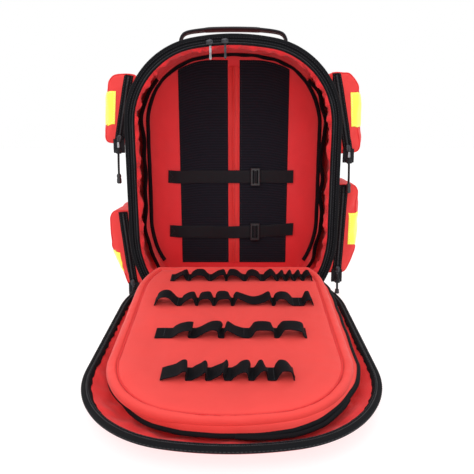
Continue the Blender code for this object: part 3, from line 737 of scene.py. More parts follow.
def build_body_tape():
    """The black band round the opening: rolled outer edge, woven tape, coil and rolled inner edge."""
    s = np.linspace(S_SILL, AROUND - S_SILL, 420)
    wobble = 0.0004 * ripples(41, 0.05)(s, 0)
    f = FRONT_Y - 0.0002
    front = TAPE_FRONT
    section = [(0.0000, f), (-0.0010, f - 0.0006), (-0.0013, f - 0.0018), (-0.0006, front),
               (0.0010, front - 0.0005), (0.0034, front - 0.0004), (0.0050, front + 0.0003),
               (0.0057, front + 0.0016), (0.0064, front + 0.0008), (0.0074, front + 0.0004),
               (0.0092, front + 0.0004), (0.0100, front + 0.0006), (0.0106, front + 0.0015),
               (0.0130, front + 0.0015), (0.0136, front + 0.0006), (0.0146, front + 0.0005),
               (0.0151, front + 0.0010), (0.0152, front + 0.0019), (0.0147, f)]
    section = [(a + wobble * min(1.0, a / 0.01), y) if a > 0.006 else (a, y) for a, y in section]
    add("body_zip_tape", sweep(s, section), "zip_tape", "bag", "black_zip", "zipper_tape_body")
    fine = np.linspace(S_SILL + 0.004, AROUND - S_SILL - 0.004, 2300)
    tooth = coil_teeth(fine, 0.00075, 0.00035)
    cols = [edge_ring(fine, 0.0118 + tooth * math.cos(a) * 1.1, front + 0.0013 + tooth * math.sin(a))
            for a in circle(7)]
    add("body_zip_coil", closed_skin(np.stack(cols, 1)), "coil", "bag", "black_zip")
    for number, (inset, lift) in enumerate(((0.0042, 0.0), (0.0083, 0.0003))):
        path = edge_ring(s, inset, front + lift)
        sew(f"body_tape_stitching_{number + 1}", stitches(path, (0, -1, 0), 0.0026, 0.0014, 0.00024),
            "black_thread", "bag", "black_zip")


def build_rim_lining():
    """The ruffled red facing just inside the opening, gathered where it is sewn to the tape."""
    s = np.linspace(S_SILL + 0.01, AROUND - S_SILL - 0.01, 460)
    ruffle, slow, pucker = ripples(51, 0.024, 9), ripples(52, 0.09), ripples(53, 0.011, 9)
    rows = []
    for t in np.linspace(0, 1, 9):
        wave_size = 0.0054 * math.sin(math.pi * min(1.0, t * 0.85 + 0.08))
        base = np.interp(t, [0, 0.15, 0.45, 0.8, 1.0], [0.0148, 0.0168, 0.0174, 0.0135, 0.0090])
        inset = base + wave_size * ruffle(s + 0.010 * t, 0.02 * t) + 0.0014 * slow(s, t * 0.02)
        inset = inset + 0.0013 * math.sin(math.pi * t) * pucker(s - 0.012 * t, 0.01 * t)
        y = TAPE_FRONT + 0.0036 + 0.034 * t + 0.0036 * math.sin(math.pi * min(1, 1.2 * t)) * ruffle(s, 1.0)
        rows.append(edge_ring(s, np.clip(inset, 0.0062, 0.0212), y))
    under = [row + outward(s) * 0.0011 for row in rows[::-1]]
    add("rim_facing", closed_skin(np.stack(rows + under, 1)), "lining", "bag", "red_lining")


# ================================================================ inside the bag
LOOP_INNER_X, LOOP_OUTER_X, LOOP_FOOT_Z = 0.0108, 0.1027, 0.049


def loop_top(x):
    """The top of a loop panel, which follows the shoulder below the outline."""
    arc = np.sqrt(SHOULDER_RADIUS ** 2 - np.maximum(0.0, np.abs(x) - SHOULDER_X) ** 2)
    return SHOULDER_Z - 0.0120 + arc - 0.0015


def build_loop_panels():
    """The black panels of loop tape on the back wall, rolled at their stitched edges."""
    for label, side in (("left", -1), ("right", 1)):
        across = np.concatenate([[LOOP_INNER_X, 0.0118, 0.0130], np.linspace(0.0165, 0.0970, 24),
                                 [0.1005, 0.1017, LOOP_OUTER_X]])
        top = loop_top(across)
        up = np.concatenate([[0.0, 0.004, 0.010], np.linspace(0.03, 0.97, 90), [0.990, 0.996, 1.0]])
        warp = ripples(60 + side, 0.12)
        rows = []
        for t in up:
            z = LOOP_FOOT_Z + (top - LOOP_FOOT_Z) * t
            inner = np.minimum.reduce([across - LOOP_INNER_X, LOOP_OUTER_X - across, z - LOOP_FOOT_Z,
                                       top - z])
            roll = np.interp(inner, [0, 0.0012, 0.0032, 0.0042, 0.006], [0.0, 0.0010, 0.0013, 0.0007, 0.0016])
            rib = 0.00010 * np.sin(2 * math.pi * z / LOOP_RIB)
            y = 0.0757 - roll - rib - 0.0002 * warp(across, z)
            rows.append(np.stack([side * across, y, z], 1))
        front = grid(rows)
        back = grid([[(p[0], SEWN_Y, p[2]) for p in row] for row in rows])
        loop = add(f"loop_pile_{label}", front.join(back), "loop", "bag", "black_loop", f"loop_panel_{label}",
                   flip_check=False)
        fix_shell(loop)
        line = [(side * x, 0.0748, z) for x, z in loop_border(0.0037)]
        sew(f"loop_stitching_{label}", stitches(line, (0, -1, 0)), "black_thread", "bag", "black_loop")


def loop_border(inset):
    """Round a loop panel, in from its edge."""
    xs = np.linspace(LOOP_INNER_X + inset, LOOP_OUTER_X - inset, 40)
    top = [(x, float(loop_top(x)) - inset) for x in xs]
    low = LOOP_FOOT_Z + inset
    line = [(xs[0], low)] + top + [(xs[-1], low), (xs[0], low)]
    return resample(line, 0.002)


def fix_shell(piece):
    """Close the rim between a front and a back sheet, and point the faces outwards."""
    face_outwards(piece.data, close_rim=True)
    piece.data.shade_smooth()
    piece.data.set_sharp_from_angle(angle=math.radians(45))


def build_divider():
    """The red strip between the loop panels, with its pleat standing in folds."""
    z = np.linspace(0.0505, 0.4215, 130)
    sway = 0.0008 * np.sin(z * 21) + 0.0005 * np.sin(z * 57 + 1)
    profile = [(-0.0096, 0.0), (-0.0078, 0.0010), (-0.0052, 0.0016), (-0.0034, 0.0024), (-0.0016, 0.0044),
               (-0.0006, 0.0052), (0.0006, 0.0046), (0.0008, 0.0022), (0.0026, 0.0018), (0.0050, 0.0022),
               (0.0074, 0.0014), (0.0094, 0.0)]
    rows = []
    for k, height in enumerate(z):
        fold = 1 + 0.25 * math.sin(height * 33 + 0.6) + 0.12 * math.sin(height * 90)
        for strap_z in (0.219, 0.112):
            fold *= 1 - 0.78 * math.exp(-((height - strap_z) / 0.018) ** 4)
        row = [(x + sway[k] * (1 - abs(x) / 0.0096), 0.0760 - h * fold, height) for x, h in profile]
        row += [(x, SEWN_Y, height) for x, _ in profile[::-1]]
        rows.append(row)
    add("divider_pleat", closed_skin(rows), "red", "bag", "red_lining")


def build_wall_pockets():
    """Gathered pockets on the side walls, and the wavy elastic along their front edges."""
    deepest = 0.0052          # of the gathers, at the pocket's edge
    for label, side in (("left", -1), ("right", 1)):
        s = np.linspace(S_SILL + 0.004, distance_to(0.402), 210)
        gather, slow = ripples(70 + side, 0.052, 9), ripples(74 + side, 0.11)
        crease = ripples(84 + side, 0.019, 9)
        rows = []
        for t in np.linspace(0, 1, 14):
            inset = 0.0066 + 0.0128 * t + deepest * t ** 1.2 * gather(s, 0.01 * t) + 0.0008 * slow(s, t) \
                + 0.0048 * t * (1 - t) * crease(s + 0.045 * t, 0.012 * t)
            y = 0.060 - 0.0900 * t + 0.0035 * t * slow(s, 3.0)
            rows.append(edge_ring(s, inset, y))
        under = [row + outward(s) * 0.0010 for row in rows[::-1]]
        cols = np.stack(rows + under, 1)
        cols[..., 0] *= side
        add(f"wall_pocket_cloth_{label}", closed_skin(cols), "lining", "bag", "red_lining",
            f"wall_pocket_{label}")
        edge = 0.0194 + deepest * gather(s, 0.01) + 0.0008 * slow(s, 1.0)
        y = -0.0345 + 0.0035 * slow(s, 3.0)
        section = [(-0.0037, 0.0034), (-0.0029, 0.0042), (0.0004, 0.0012), (0.0041, -0.0027),
                   (0.0042, -0.0036), (0.0033, -0.0037), (-0.0004, 0.0004)]
        cols = np.stack([edge_ring(s, edge + a, y + b) for a, b in section], 1)
        cols[..., 0] *= side
        add(f"wall_elastic_edge_{label}", closed_skin(cols), "elastic", "bag", "black_elastic",
            f"wall_elastic_{label}")
    # binding over the seam between the side walls and the back wall
    s = np.linspace(distance_to(0.050), AROUND - distance_to(0.050), 420)
    crown = np.clip((edge_at(s)[1] - 0.36) / 0.04, 0, 1)
    drift = 0.0005 * ripples(79, 0.07)(s, 0) + 0.0018 * crown * (ripples(80, 0.04)(s, 0) - 0.6)
    section = [(0.0062, 0.0685), (0.0090, 0.0672), (0.0114, 0.0694), (0.0126, 0.0728), (0.0108, 0.0752),
               (0.0066, 0.0752)]
    cols = np.stack([edge_ring(s, a + drift, y) for a, y in section], 1)
    add("inner_seam_binding", closed_skin(cols), "binding", "bag", "black_webbing")


def build_securing_straps():
    """Webbing across the back wall, through its ladder-lock, with a loose end."""
    for label, z, low, high, droop, tail in (("upper", 0.220, -0.126, 0.114, 0.0, 0.0),
                                             ("lower", 0.113, -0.126, 0.116, 0.0014, 0.004)):
        face = 0.0737
        line = curve_through([
            (low, 0.0752, z), (low + 0.008, 0.0750, z - 0.0004), (low + 0.022, face - 0.0006, z - 0.0010),
            (-0.060, face - 0.0012, z - droop), (-0.020, face - 0.0020, z - droop * 1.6),
            (0.018, face - 0.0022, z - droop), (0.041, face - 0.0016, z), (0.062, face - 0.0020, z + 0.0005),
            (0.088, face - 0.0024, z + tail * 0.6), (high - 0.006, face - 0.0012, z + tail),
            (high, face - 0.0008, z + tail)],
            0.0025)
        twist = 0.10 * (1 if label == "lower" else 0.4)
        turn = np.array([(0.0, twist * math.sin(p[0] * 60), 1.0) for p in line])
        add(f"securing_webbing_{label}", strap(line, NARROW_WEBBING, 0.0016, turn), "webbing", "bag",
            "black_webbing", f"securing_strap_{label}")
        # the box stitch at its sewn end: two long sides, then the cross
        anchor = Shape()
        for foot, head in ((-0.0095, -0.0095), (0.0095, 0.0095), (-0.009, 0.009), (0.009, -0.009)):
            anchor.join(stitches([(low + 0.002, 0.0741, z + foot), (low + 0.016, 0.0741, z + head)],
                                 (0, -1, 0), 0.0022, 0.001))
        sew(f"securing_stitching_{label}", anchor, "black_thread", "bag", "black_webbing")
        # webbing woven over the buckle's middle bar
        lo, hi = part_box(f"strap_buckle_{label}")
        x, back, front = (lo.x + hi.x) / 2, hi.y, lo.y
        bridge = curve_through([(x - 0.0058, back - 0.0002, z), (x - 0.0040, back - 0.0018, z),
                                (x - 0.0018, front + 0.0008, z), (x, front - 0.0004, z),
                                (x + 0.0018, front + 0.0008, z), (x + 0.0040, back - 0.0018, z),
                                (x + 0.0058, back - 0.0002, z)], 0.0008)
        add(f"buckle_webbing_{label}", strap(bridge, 0.0238, 0.0013, (0, 0, 1)), "webbing", f"buckle_{label}",
            "black_webbing")


build_bag_body()
build_body_tape()
build_rim_lining()
build_loop_panels()
build_divider()
build_wall_pockets()
build_securing_straps()

# ================================================================ soft pieces by cloth simulation
def settle(piece):
    """Apply a piece's modifiers to its mesh."""
    bpy.context.view_layer.update()
    worn = piece.evaluated_get(bpy.context.evaluated_depsgraph_get())
    mesh = bpy.data.meshes.new_from_object(worn)
    piece.modifiers.clear()
    piece.data = mesh


def points_of(piece, what="co"):
    """Each point of a piece, or with "normal" the surface's direction there."""
    made = np.zeros(len(piece.data.vertices) * 3)
    piece.data.vertices.foreach_get(what, made)
    return made.reshape(-1, 3)


def put_points(piece, points):
    piece.data.vertices.foreach_set("co", np.asarray(points, np.float64).ravel())
    piece.data.update()


def box_uvs(mesh):
    """UVs in metres from each face's own main direction."""
    layer = mesh.uv_layers.get("UVMap") or mesh.uv_layers.new(name="UVMap")
    for face in mesh.polygons:
        n = [abs(a) for a in face.normal]
        drop = n.index(max(n))
        a, b = [(1, 2), (0, 2), (0, 1)][drop]
        for corner in face.loop_indices:
            at = mesh.vertices[mesh.loops[corner].vertex_index].co
            layer.data[corner].uv = (at[a], at[b])


def puff(name, shape, material, cap, voxel=0.005, pressure=4.0, held=None, limit=None, crease=0.0008,
         lump=0.035, seed=1, frames=20):
    """Points that held picks stay where they are; limit keeps the rest out of the piece's neighbours.
    """
    mesh = bpy.data.meshes.new(name)
    mesh.from_pydata(np.vstack(shape.points).tolist(), [], shape.faces)
    face_outwards(mesh)
    piece = bpy.data.objects.new(name, mesh)
    bpy.context.scene.collection.objects.link(piece)
    remesh = piece.modifiers.new("remesh", "REMESH")
    remesh.mode = "VOXEL"
    remesh.voxel_size = voxel
    settle(piece)
    start = points_of(piece)
    pins = piece.vertex_groups.new(name="held")
    if held is not None:
        pins.add(np.nonzero(held(start))[0].tolist(), 1.0, "REPLACE")
    cloth = piece.modifiers.new("cloth", "CLOTH")
    kit = cloth.settings
    kit.quality = 6
    kit.mass = 0.25
    kit.tension_stiffness = kit.compression_stiffness = 18
    kit.shear_stiffness = 6
    kit.bending_stiffness = 0.6
    kit.use_pressure = True
    kit.uniform_pressure_force = pressure
    kit.effector_weights.gravity = 0.0
    if held is not None:
        kit.vertex_group_mass = "held"
    cloth.point_cache.frame_start, cloth.point_cache.frame_end = 1, frames
    for number in range(1, frames + 1):
        bpy.context.scene.frame_set(number)
    worn = piece.evaluated_get(bpy.context.evaluated_depsgraph_get())
    moved = points_of(worn) - start
    size = np.linalg.norm(moved, axis=1, keepdims=True)
    moved *= np.minimum(1.0, cap / np.maximum(size, 1e-9))
    piece.modifiers.clear()
    bpy.context.scene.frame_set(1)
    piece.vertex_groups.clear()
    put_points(piece, start + moved)
    smoother = piece.modifiers.new("even", "SMOOTH")
    smoother.factor, smoother.iterations = 0.5, 3
    finer = piece.modifiers.new("finer", "SUBSURF")
    finer.levels = finer.render_levels = 1
    settle(piece)
    p, n = points_of(piece), points_of(piece, "normal")
    one, two = ripples(seed, lump), ripples(seed + 1, lump * 0.4)
    x, y, z = p.T
    p = p + n * (crease * one(x + y, z) + 0.4 * crease * two(x - y, z))[:, None]
    if limit is not None:
        p = limit(p)
    put_points(piece, p)
    piece.data.materials.clear()
    piece.data.materials.append(MAT[material])
    box_uvs(piece.data)
    piece.data.shade_smooth()
    return piece


def surface_of(piece):
    bpy.context.view_layer.update()
    return BVHTree.FromObject(piece, bpy.context.evaluated_depsgraph_get())


def laid_on(tree, points, lift):
    """The points moved onto a surface and lifted off it, with the surface's directions."""
    made, ups = [], []
    for point in np.asarray(points, float).reshape(-1, 3):
        spot, normal, _, _ = tree.find_nearest(Vector(point))
        made.append(np.array(spot) + lift * np.array(normal))
        ups.append(np.array(normal))
    return np.array(made), np.array(ups)


# ================================================================ lid
LID_CENTRE = np.array([0.0, 0.232])           # x and z
LID_FLOOR_INSET, LID_FLOOR_RISE = 0.046, 0.022


def lid_ring(s, inset, depth, lowest, keep=None):
    """A ring of the shut lid, from its hinge, moved in by inset and drawn towards the centre if asked."""
    ring = edge_ring(s, inset, HINGE_Y + depth)
    ring[:, 2] = np.maximum(ring[:, 2], lowest)
    if keep is not None:
        ring[:, [0, 2]] = LID_CENTRE + (ring[:, [0, 2]] - LID_CENTRE) * keep
    return from_hinge(ring)


# (inset, depth) down the tray's lining from its rim, and down the lid's outer skin
LINING_SLOPE = [(0.0046, -0.0033), (0.0070, -0.0044), (0.0105, -0.0070), (0.0150, -0.0108), (0.0200, -0.0145),
                (0.0260, -0.0180), (0.0330, -0.0205), (0.0400, -0.0222), (0.0460, -0.0230)]
SKIN_SLOPE = [(0.0010, -0.0034), (0.0012, -0.0062), (0.0035, -0.0100), (0.0085, -0.0142), (0.0150, -0.0182),
              (0.0225, -0.0217), (0.0310, -0.0243), (0.0390, -0.0258), (0.0460, -0.0264)]


def build_lid():
    """The lid's tray of red cloth, and the zip tape round its rim."""
    s = LOOP
    crease, fine, fold = ripples(101, 0.040, 9), ripples(102, 0.018), ripples(103, 0.034, 6)
    rows, picks = [], []
    for keep in (0.03, 0.2, 0.4, 0.6, 0.78, 0.92):
        ring = lid_ring(s, LID_FLOOR_INSET, -0.0233, LID_EDGE_Z + LID_FLOOR_RISE, keep)
        ring[:, 1] += 0.0006 * crease(ring[:, 0], ring[:, 2])
        rows.append(ring)
        picks.append(1)
    slope = []
    for (a, b), (c, d) in zip(LINING_SLOPE, LINING_SLOPE[1:]):
        slope += [(a + (c - a) * t, b + (d - b) * t) for t in (0, 0.5)]
    slope.append(LINING_SLOPE[-1])
    for inset, depth in slope[::-1]:
        share = min(1.0, (inset - 0.0046) / 0.012)
        ring = lid_ring(s, inset, depth, LID_EDGE_Z + min(LID_FLOOR_RISE, 0.003 + inset * 0.4))
        ring[:, 1] += share * (0.0022 * crease(s, inset * 1.5) + 0.0006 * fine(s, inset))
        ring[:, 1] += share * 0.0017 * (0.4 - np.abs(fold(s, inset * 2.2)))
        rows.append(ring)
        picks.append(1)
    for inset, depth in SKIN_SLOPE:
        ring = lid_ring(s, inset, depth, LID_EDGE_Z + max(0.0, inset - 0.001) * 0.5)
        share = min(1.0, max(0.0, inset - 0.003) / 0.01)
        ring[:, 1] += share * 0.0007 * (1 + crease(s, inset))
        rows.append(ring)
        picks.append(0)
    for keep in (0.92, 0.78, 0.6, 0.4, 0.2, 0.03):
        rows.append(lid_ring(s, LID_FLOOR_INSET, -0.0265, LID_EDGE_Z + LID_FLOOR_RISE, keep))
        picks.append(0)
    shape = grid(np.array(rows), wrap_cols=True, caps=True, pick_rows=picks).mapped(lid_to_world)
    add("lid_tray", shape, ["red", "lining_bright"], "lid", "red_nylon", "lid_shell")

    s = np.linspace(S_SILL + 0.010, AROUND - S_SILL - 0.010, 520)
    ruffle = ripples(111, 0.016, 9)(s, 0) + 0.5 * ripples(112, 0.007, 9)(s, 0)
    section = [(0.0004, -0.0005), (-0.0010, -0.0009), (-0.0016, -0.0022), (-0.0014, -0.0042),
               (-0.0008, -0.0060), (0.0008, -0.0074), (0.0014, -0.0064), (0.0008, -0.0046), (0.0012, -0.0031),
               (0.0062, -0.0031), (0.0086, -0.0052), (0.0094, -0.0046), (0.0084, -0.0030), (0.0072, -0.0010),
               (0.0062, -0.0004), (0.0053, -0.0004), (0.0047, -0.0006), (0.0040, -0.0017), (0.0033, -0.0006),
               (0.0018, -0.0003)]
    cols = []
    for inset, depth in section:
        share = max(0.0, min(1.0, (inset - 0.0066) / 0.0018))
        cols.append(edge_ring(s, inset + share * 0.0011 * ruffle, HINGE_Y + depth - share * 0.0007 * ruffle))
    shape = closed_skin(from_hinge(np.stack(cols, 1))).mapped(lid_to_world)
    add("lid_zip_tape", shape, "zip_tape", "lid", "black_zip", "zipper_tape_lid")
    fine_s = np.linspace(S_SILL + 0.014, AROUND - S_SILL - 0.014, 2200)
    tooth = coil_teeth(fine_s, 0.00062, 0.00028)
    cols = [edge_ring(fine_s, 0.0040 + tooth * math.cos(a), HINGE_Y - 0.0012 + tooth * math.sin(a))
            for a in circle(7)]
    shape = closed_skin(from_hinge(np.stack(cols, 1))).mapped(lid_to_world)
    add("lid_zip_coil", shape, "coil", "lid", "black_zip")
    for number, (inset, depth) in enumerate(((0.0057, -0.0003), (-0.0016, -0.0032))):
        path = lid_to_world(from_hinge(edge_ring(s, inset, HINGE_Y + depth)))
        out = outward(s) if number else np.array([[0.0, 1.0, 0.0]] * len(s))
        sew(f"lid_stitching_{number + 1}", stitches(path, lid_direction(out), 0.0026, 0.0014, 0.00024),
            "black_thread", "lid", "black_zip")


def build_hinge_cloth():
    """Red cloth from the bag's sill to the lid, in a soft fold under the hinge."""
    line = curve_through([(0, -0.0806, 0.0515), (0, -0.0810, 0.0440), (0, -0.0822, 0.0385),
                          (0, -0.0842, 0.0368), (0, -0.0860, 0.0390), (0, -0.0866, 0.0435),
                          (0, -0.0866, 0.0485)], 0.0012)
    xs = np.linspace(-0.136, 0.136, 90)
    along = headings(line)
    out = np.stack([0 * along[:, 0], -along[:, 2], along[:, 1]], 1) * 0.0005
    sag = 0.0008 * ripples(121, 0.05)(xs, 0)
    rows = []
    for k, x in enumerate(xs):
        mid = line + [x, 0, 0]
        mid = mid + np.array([0, 0, 1.0]) * sag[k] * np.sin(np.linspace(0, math.pi, len(line)))[:, None]
        rows.append(np.vstack([mid + out, (mid - out)[::-1]]))
    piece = add("sill_hinge_cloth", closed_skin(rows), "red", None, "red_nylon")
    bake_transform(piece)


# ================================================================ organiser flap
def panel_level(up):
    """How high the flap stands over the tray at a distance from the hinge."""
    return PANEL_RISE - PANEL_SLOPE * up


def cushion_shift(s):
    """How much further in the cushion stops on the right, where the black edge shows; less at its far end."""
    z, nx, nz = edge_at(s)[1:]
    return 0.0042 * np.maximum(0.0, nx) * np.clip((z - 0.08) / 0.05, 0, 1) - 0.0052 * np.maximum(0.0, nz)


def flap_ring(s, extra, depth):
    """A ring on the flap in the lid's frame; extra and depth may be arrays along s."""
    x, z, nx, nz = edge_at(s)
    inset = PANEL_INSET + PANEL_END_INSET * np.maximum(0.0, nz) + extra
    px = x - nx * inset
    up = np.maximum(z - nz * inset - HINGE_Z, PANEL_START + np.maximum(0.0, extra))
    return np.stack([px, panel_level(up) - depth, up], -1)


def build_organiser():
    """The padded flap in the lid, its skirt and black edge, and the cloth under and behind it."""
    s = np.linspace(0, AROUND, 381)[:-1]
    soft, fine = ripples(131, 0.07), ripples(132, 0.022)
    seam_at = 0.0130
    shift = cushion_shift(s)
    tighter = 0.45 * np.maximum(0.0, edge_at(s)[3])

    def moved(extra):
        return extra * (1 - tighter) if extra <= seam_at else extra - seam_at * tighter

    def drawn_in(ring, keep):
        ring[:, [0, 2]] = centre + (ring[:, [0, 2]] - centre) * keep
        return ring
    crown = [(0.0085, 0.0127), (0.0030, 0.0122), (0.0004, 0.0100), (-0.0004, 0.0076), (0.0002, 0.0050),
             (0.0014, 0.0028), (0.0034, 0.0012), (0.0062, 0.0002), (0.0090, 0.0001), (0.0110, 0.0007),
             (0.0122, 0.0022), (seam_at, 0.0031), (0.0138, 0.0024), (0.0156, 0.0010), (0.0190, 0.0002),
             (0.0260, -0.0002), (0.0400, -0.0004)]
    rows = []
    centre = np.array([0.0, 0.190])
    for keep in (0.03, 0.25, 0.5, 0.75, 0.93):
        ring = drawn_in(flap_ring(s, 0.0120 + shift, 0.0127), keep)
        ring[:, 1] = panel_level(ring[:, 2]) - 0.0128
        rows.append(ring)
    for extra, depth in crown:
        ring = flap_ring(s, moved(extra) + shift, depth)
        share = 1.0 if depth < 0.006 else 0.3
        ring[:, 1] += share * (0.0005 * soft(ring[:, 0], ring[:, 2]) + 0.00025 * fine(ring[:, 0], ring[:, 2]))
        if 0.002 < extra < 0.012:
            ring[:, 1] += 0.0004 * fine(s, extra * 2)
        rows.append(ring)
    for keep in (0.95, 0.88, 0.80, 0.70, 0.60, 0.50, 0.40, 0.30, 0.20, 0.10, 0.03):
        ring = drawn_in(flap_ring(s, moved(0.0400) + shift, 0.0), keep)
        lift = 0.0004 + 0.0003 * (1 - keep)
        ring[:, 1] = panel_level(ring[:, 2]) + lift - 0.0006 + 0.0005 * soft(ring[:, 0], ring[:, 2]) \
            + 0.0002 * fine(ring[:, 0], ring[:, 2])
        rows.append(ring)
    shape = closed_skin(np.array(rows)).mapped(lid_to_world)
    panel = add("organiser_cushion", shape, "red_bright", "organiser", "red_nylon", "organiser_panel")
    up = lid_direction(np.array([0.0, 1.0, PANEL_SLOPE]))
    line = flap_ring(s, moved(0.0112) + shift, 0.0004)
    line = resample(lid_to_world(np.vstack([line, line[:1]])), 0.002)
    sew("organiser_stitching", stitches(line, up, 0.0026, 0.0014, 0.00026), "red_thread", "organiser",
        "red_nylon")
    bead = lid_to_world(flap_ring(s, moved(seam_at) + 0.0004 + shift, 0.0018))
    add("organiser_seam_piping", tube(bead, 0.0009, 8, closed=True), "red_cord", "organiser", "red_nylon")

    # skirt and its black edge, drooping at the far end and out on the right
    arc = np.linspace(distance_to(0.075), AROUND - distance_to(0.080), 360)
    share = (arc - arc[0]) / (arc[-1] - arc[0])          # 0 at the right of the hinge, 1 at the left
    out = np.interp(share, [0, 0.06, 0.25, 0.34, 0.41, 0.50, 0.56, 0.62, 0.67, 1.0],
                    [-0.002, 0.0008, 0.0014, 0.003, 0.008, 0.0085, 0.007, 0.003, -0.003, -0.003])
    drop = np.interp(share, [0, 0.06, 0.28, 0.38, 0.46, 0.58, 0.66, 1.0],
                     [0.0100, 0.0072, 0.0076, 0.0115, 0.0150, 0.0156, 0.0150, 0.0150])
    wob = ripples(141, 0.05)(arc, 0)
    rows = []
    for t in np.linspace(0, 1, 8):
        extra = 0.0012 + cushion_shift(arc) * (1 - t) - (out + 0.0012) * t ** 0.8 + 0.0008 * t * wob
        depth = 0.0062 + (drop - 0.0062) * t
        rows.append(flap_ring(arc, extra, depth))
    lower = [r + [0, -0.0009, 0] for r in rows[::-1]]
    shape = closed_skin(np.stack(rows + lower, 1)).mapped(lid_to_world)
    add("organiser_skirt", shape, "red_bright", "organiser", "red_nylon")
    hem_extra = 0.0008 * wob - out
    section = [(0.0012, 0.0012), (-0.0016, 0.0010), (-0.0030, -0.0004), (-0.0032, -0.0022),
               (-0.0016, -0.0032), (0.0010, -0.0028)]
    cols = [flap_ring(arc, hem_extra + a, drop - b) for a, b in section]
    shape = closed_skin(np.stack(cols, 1)).mapped(lid_to_world)
    add("organiser_edge_zip", shape, "zip_tape", "organiser", "black_zip", "organiser_binding")
    # a second fold of the black edge, where it droops
    part = arc[int(0.33 * len(arc)):int(0.50 * len(arc))]
    t = np.linspace(0, 1, len(part))
    swell = np.sin(math.pi * t)
    base_extra = np.interp(part, arc, hem_extra)
    base_drop = np.interp(part, arc, drop)
    cols = [flap_ring(part, base_extra - 0.0022 - 0.0042 * swell + a * 0.8, base_drop - 0.0002 - b * 0.8)
            for a, b in section]
    shape = closed_skin(np.stack(cols, 1)).mapped(lid_to_world)
    add("organiser_edge_fold", shape, "zip_tape", "organiser", "black_zip")

    # the pocket wall under the flap, on the tray
    arc = np.linspace(distance_to(0.068), AROUND - distance_to(0.068), 380)
    gather, slow = ripples(151, 0.026, 9), ripples(152, 0.08)
    foot = -0.0215
    rows = []
    for t in np.linspace(0, 1, 9):
        extra = 0.0145 - 0.0085 * t + 0.0018 * math.sin(math.pi * t) * gather(arc, 0.01 * t) \
            + 0.0010 * t * slow(arc, 0)
        ring = flap_ring(arc, extra, 0.0)
        top = panel_level(ring[:, 2]) - 0.0155
        ring[:, 1] = foot + (np.maximum(top, foot + 0.004) - foot) * t
        rows.append(ring)
    inner = []
    for ring in rows[::-1]:
        pull = ring.copy()
        pull[:, 0] *= 0.992
        pull[:, 2] -= 0.0008
        inner.append(pull)
    shape = closed_skin(np.stack(rows + inner, 1)).mapped(lid_to_world)
    add("tray_pocket_wall", shape, "lining_bright", "lid", "red_lining")

    # cloth between the tray's hinge end and the flap
    line = np.array([lid_to_world(np.array([0, d, u])) for d, u in
                     [(-0.0045, 0.0066), (0.004, 0.0072), (0.011, 0.0078), (0.017, 0.0084),
                      (0.0215, 0.0098)]])
    line = curve_through(line, 0.0012)
    xs = np.linspace(-0.124, 0.124, 80)
    rows = []
    for x in xs:
        mid = line + [x, 0, 0]
        rows.append(np.vstack([mid + [0, 0.0005, 0], (mid - [0, 0.0005, 0])[::-1]]))
    piece = add("flap_hinge_cloth", closed_skin(rows), "red", None, "red_nylon")
    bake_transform(piece)


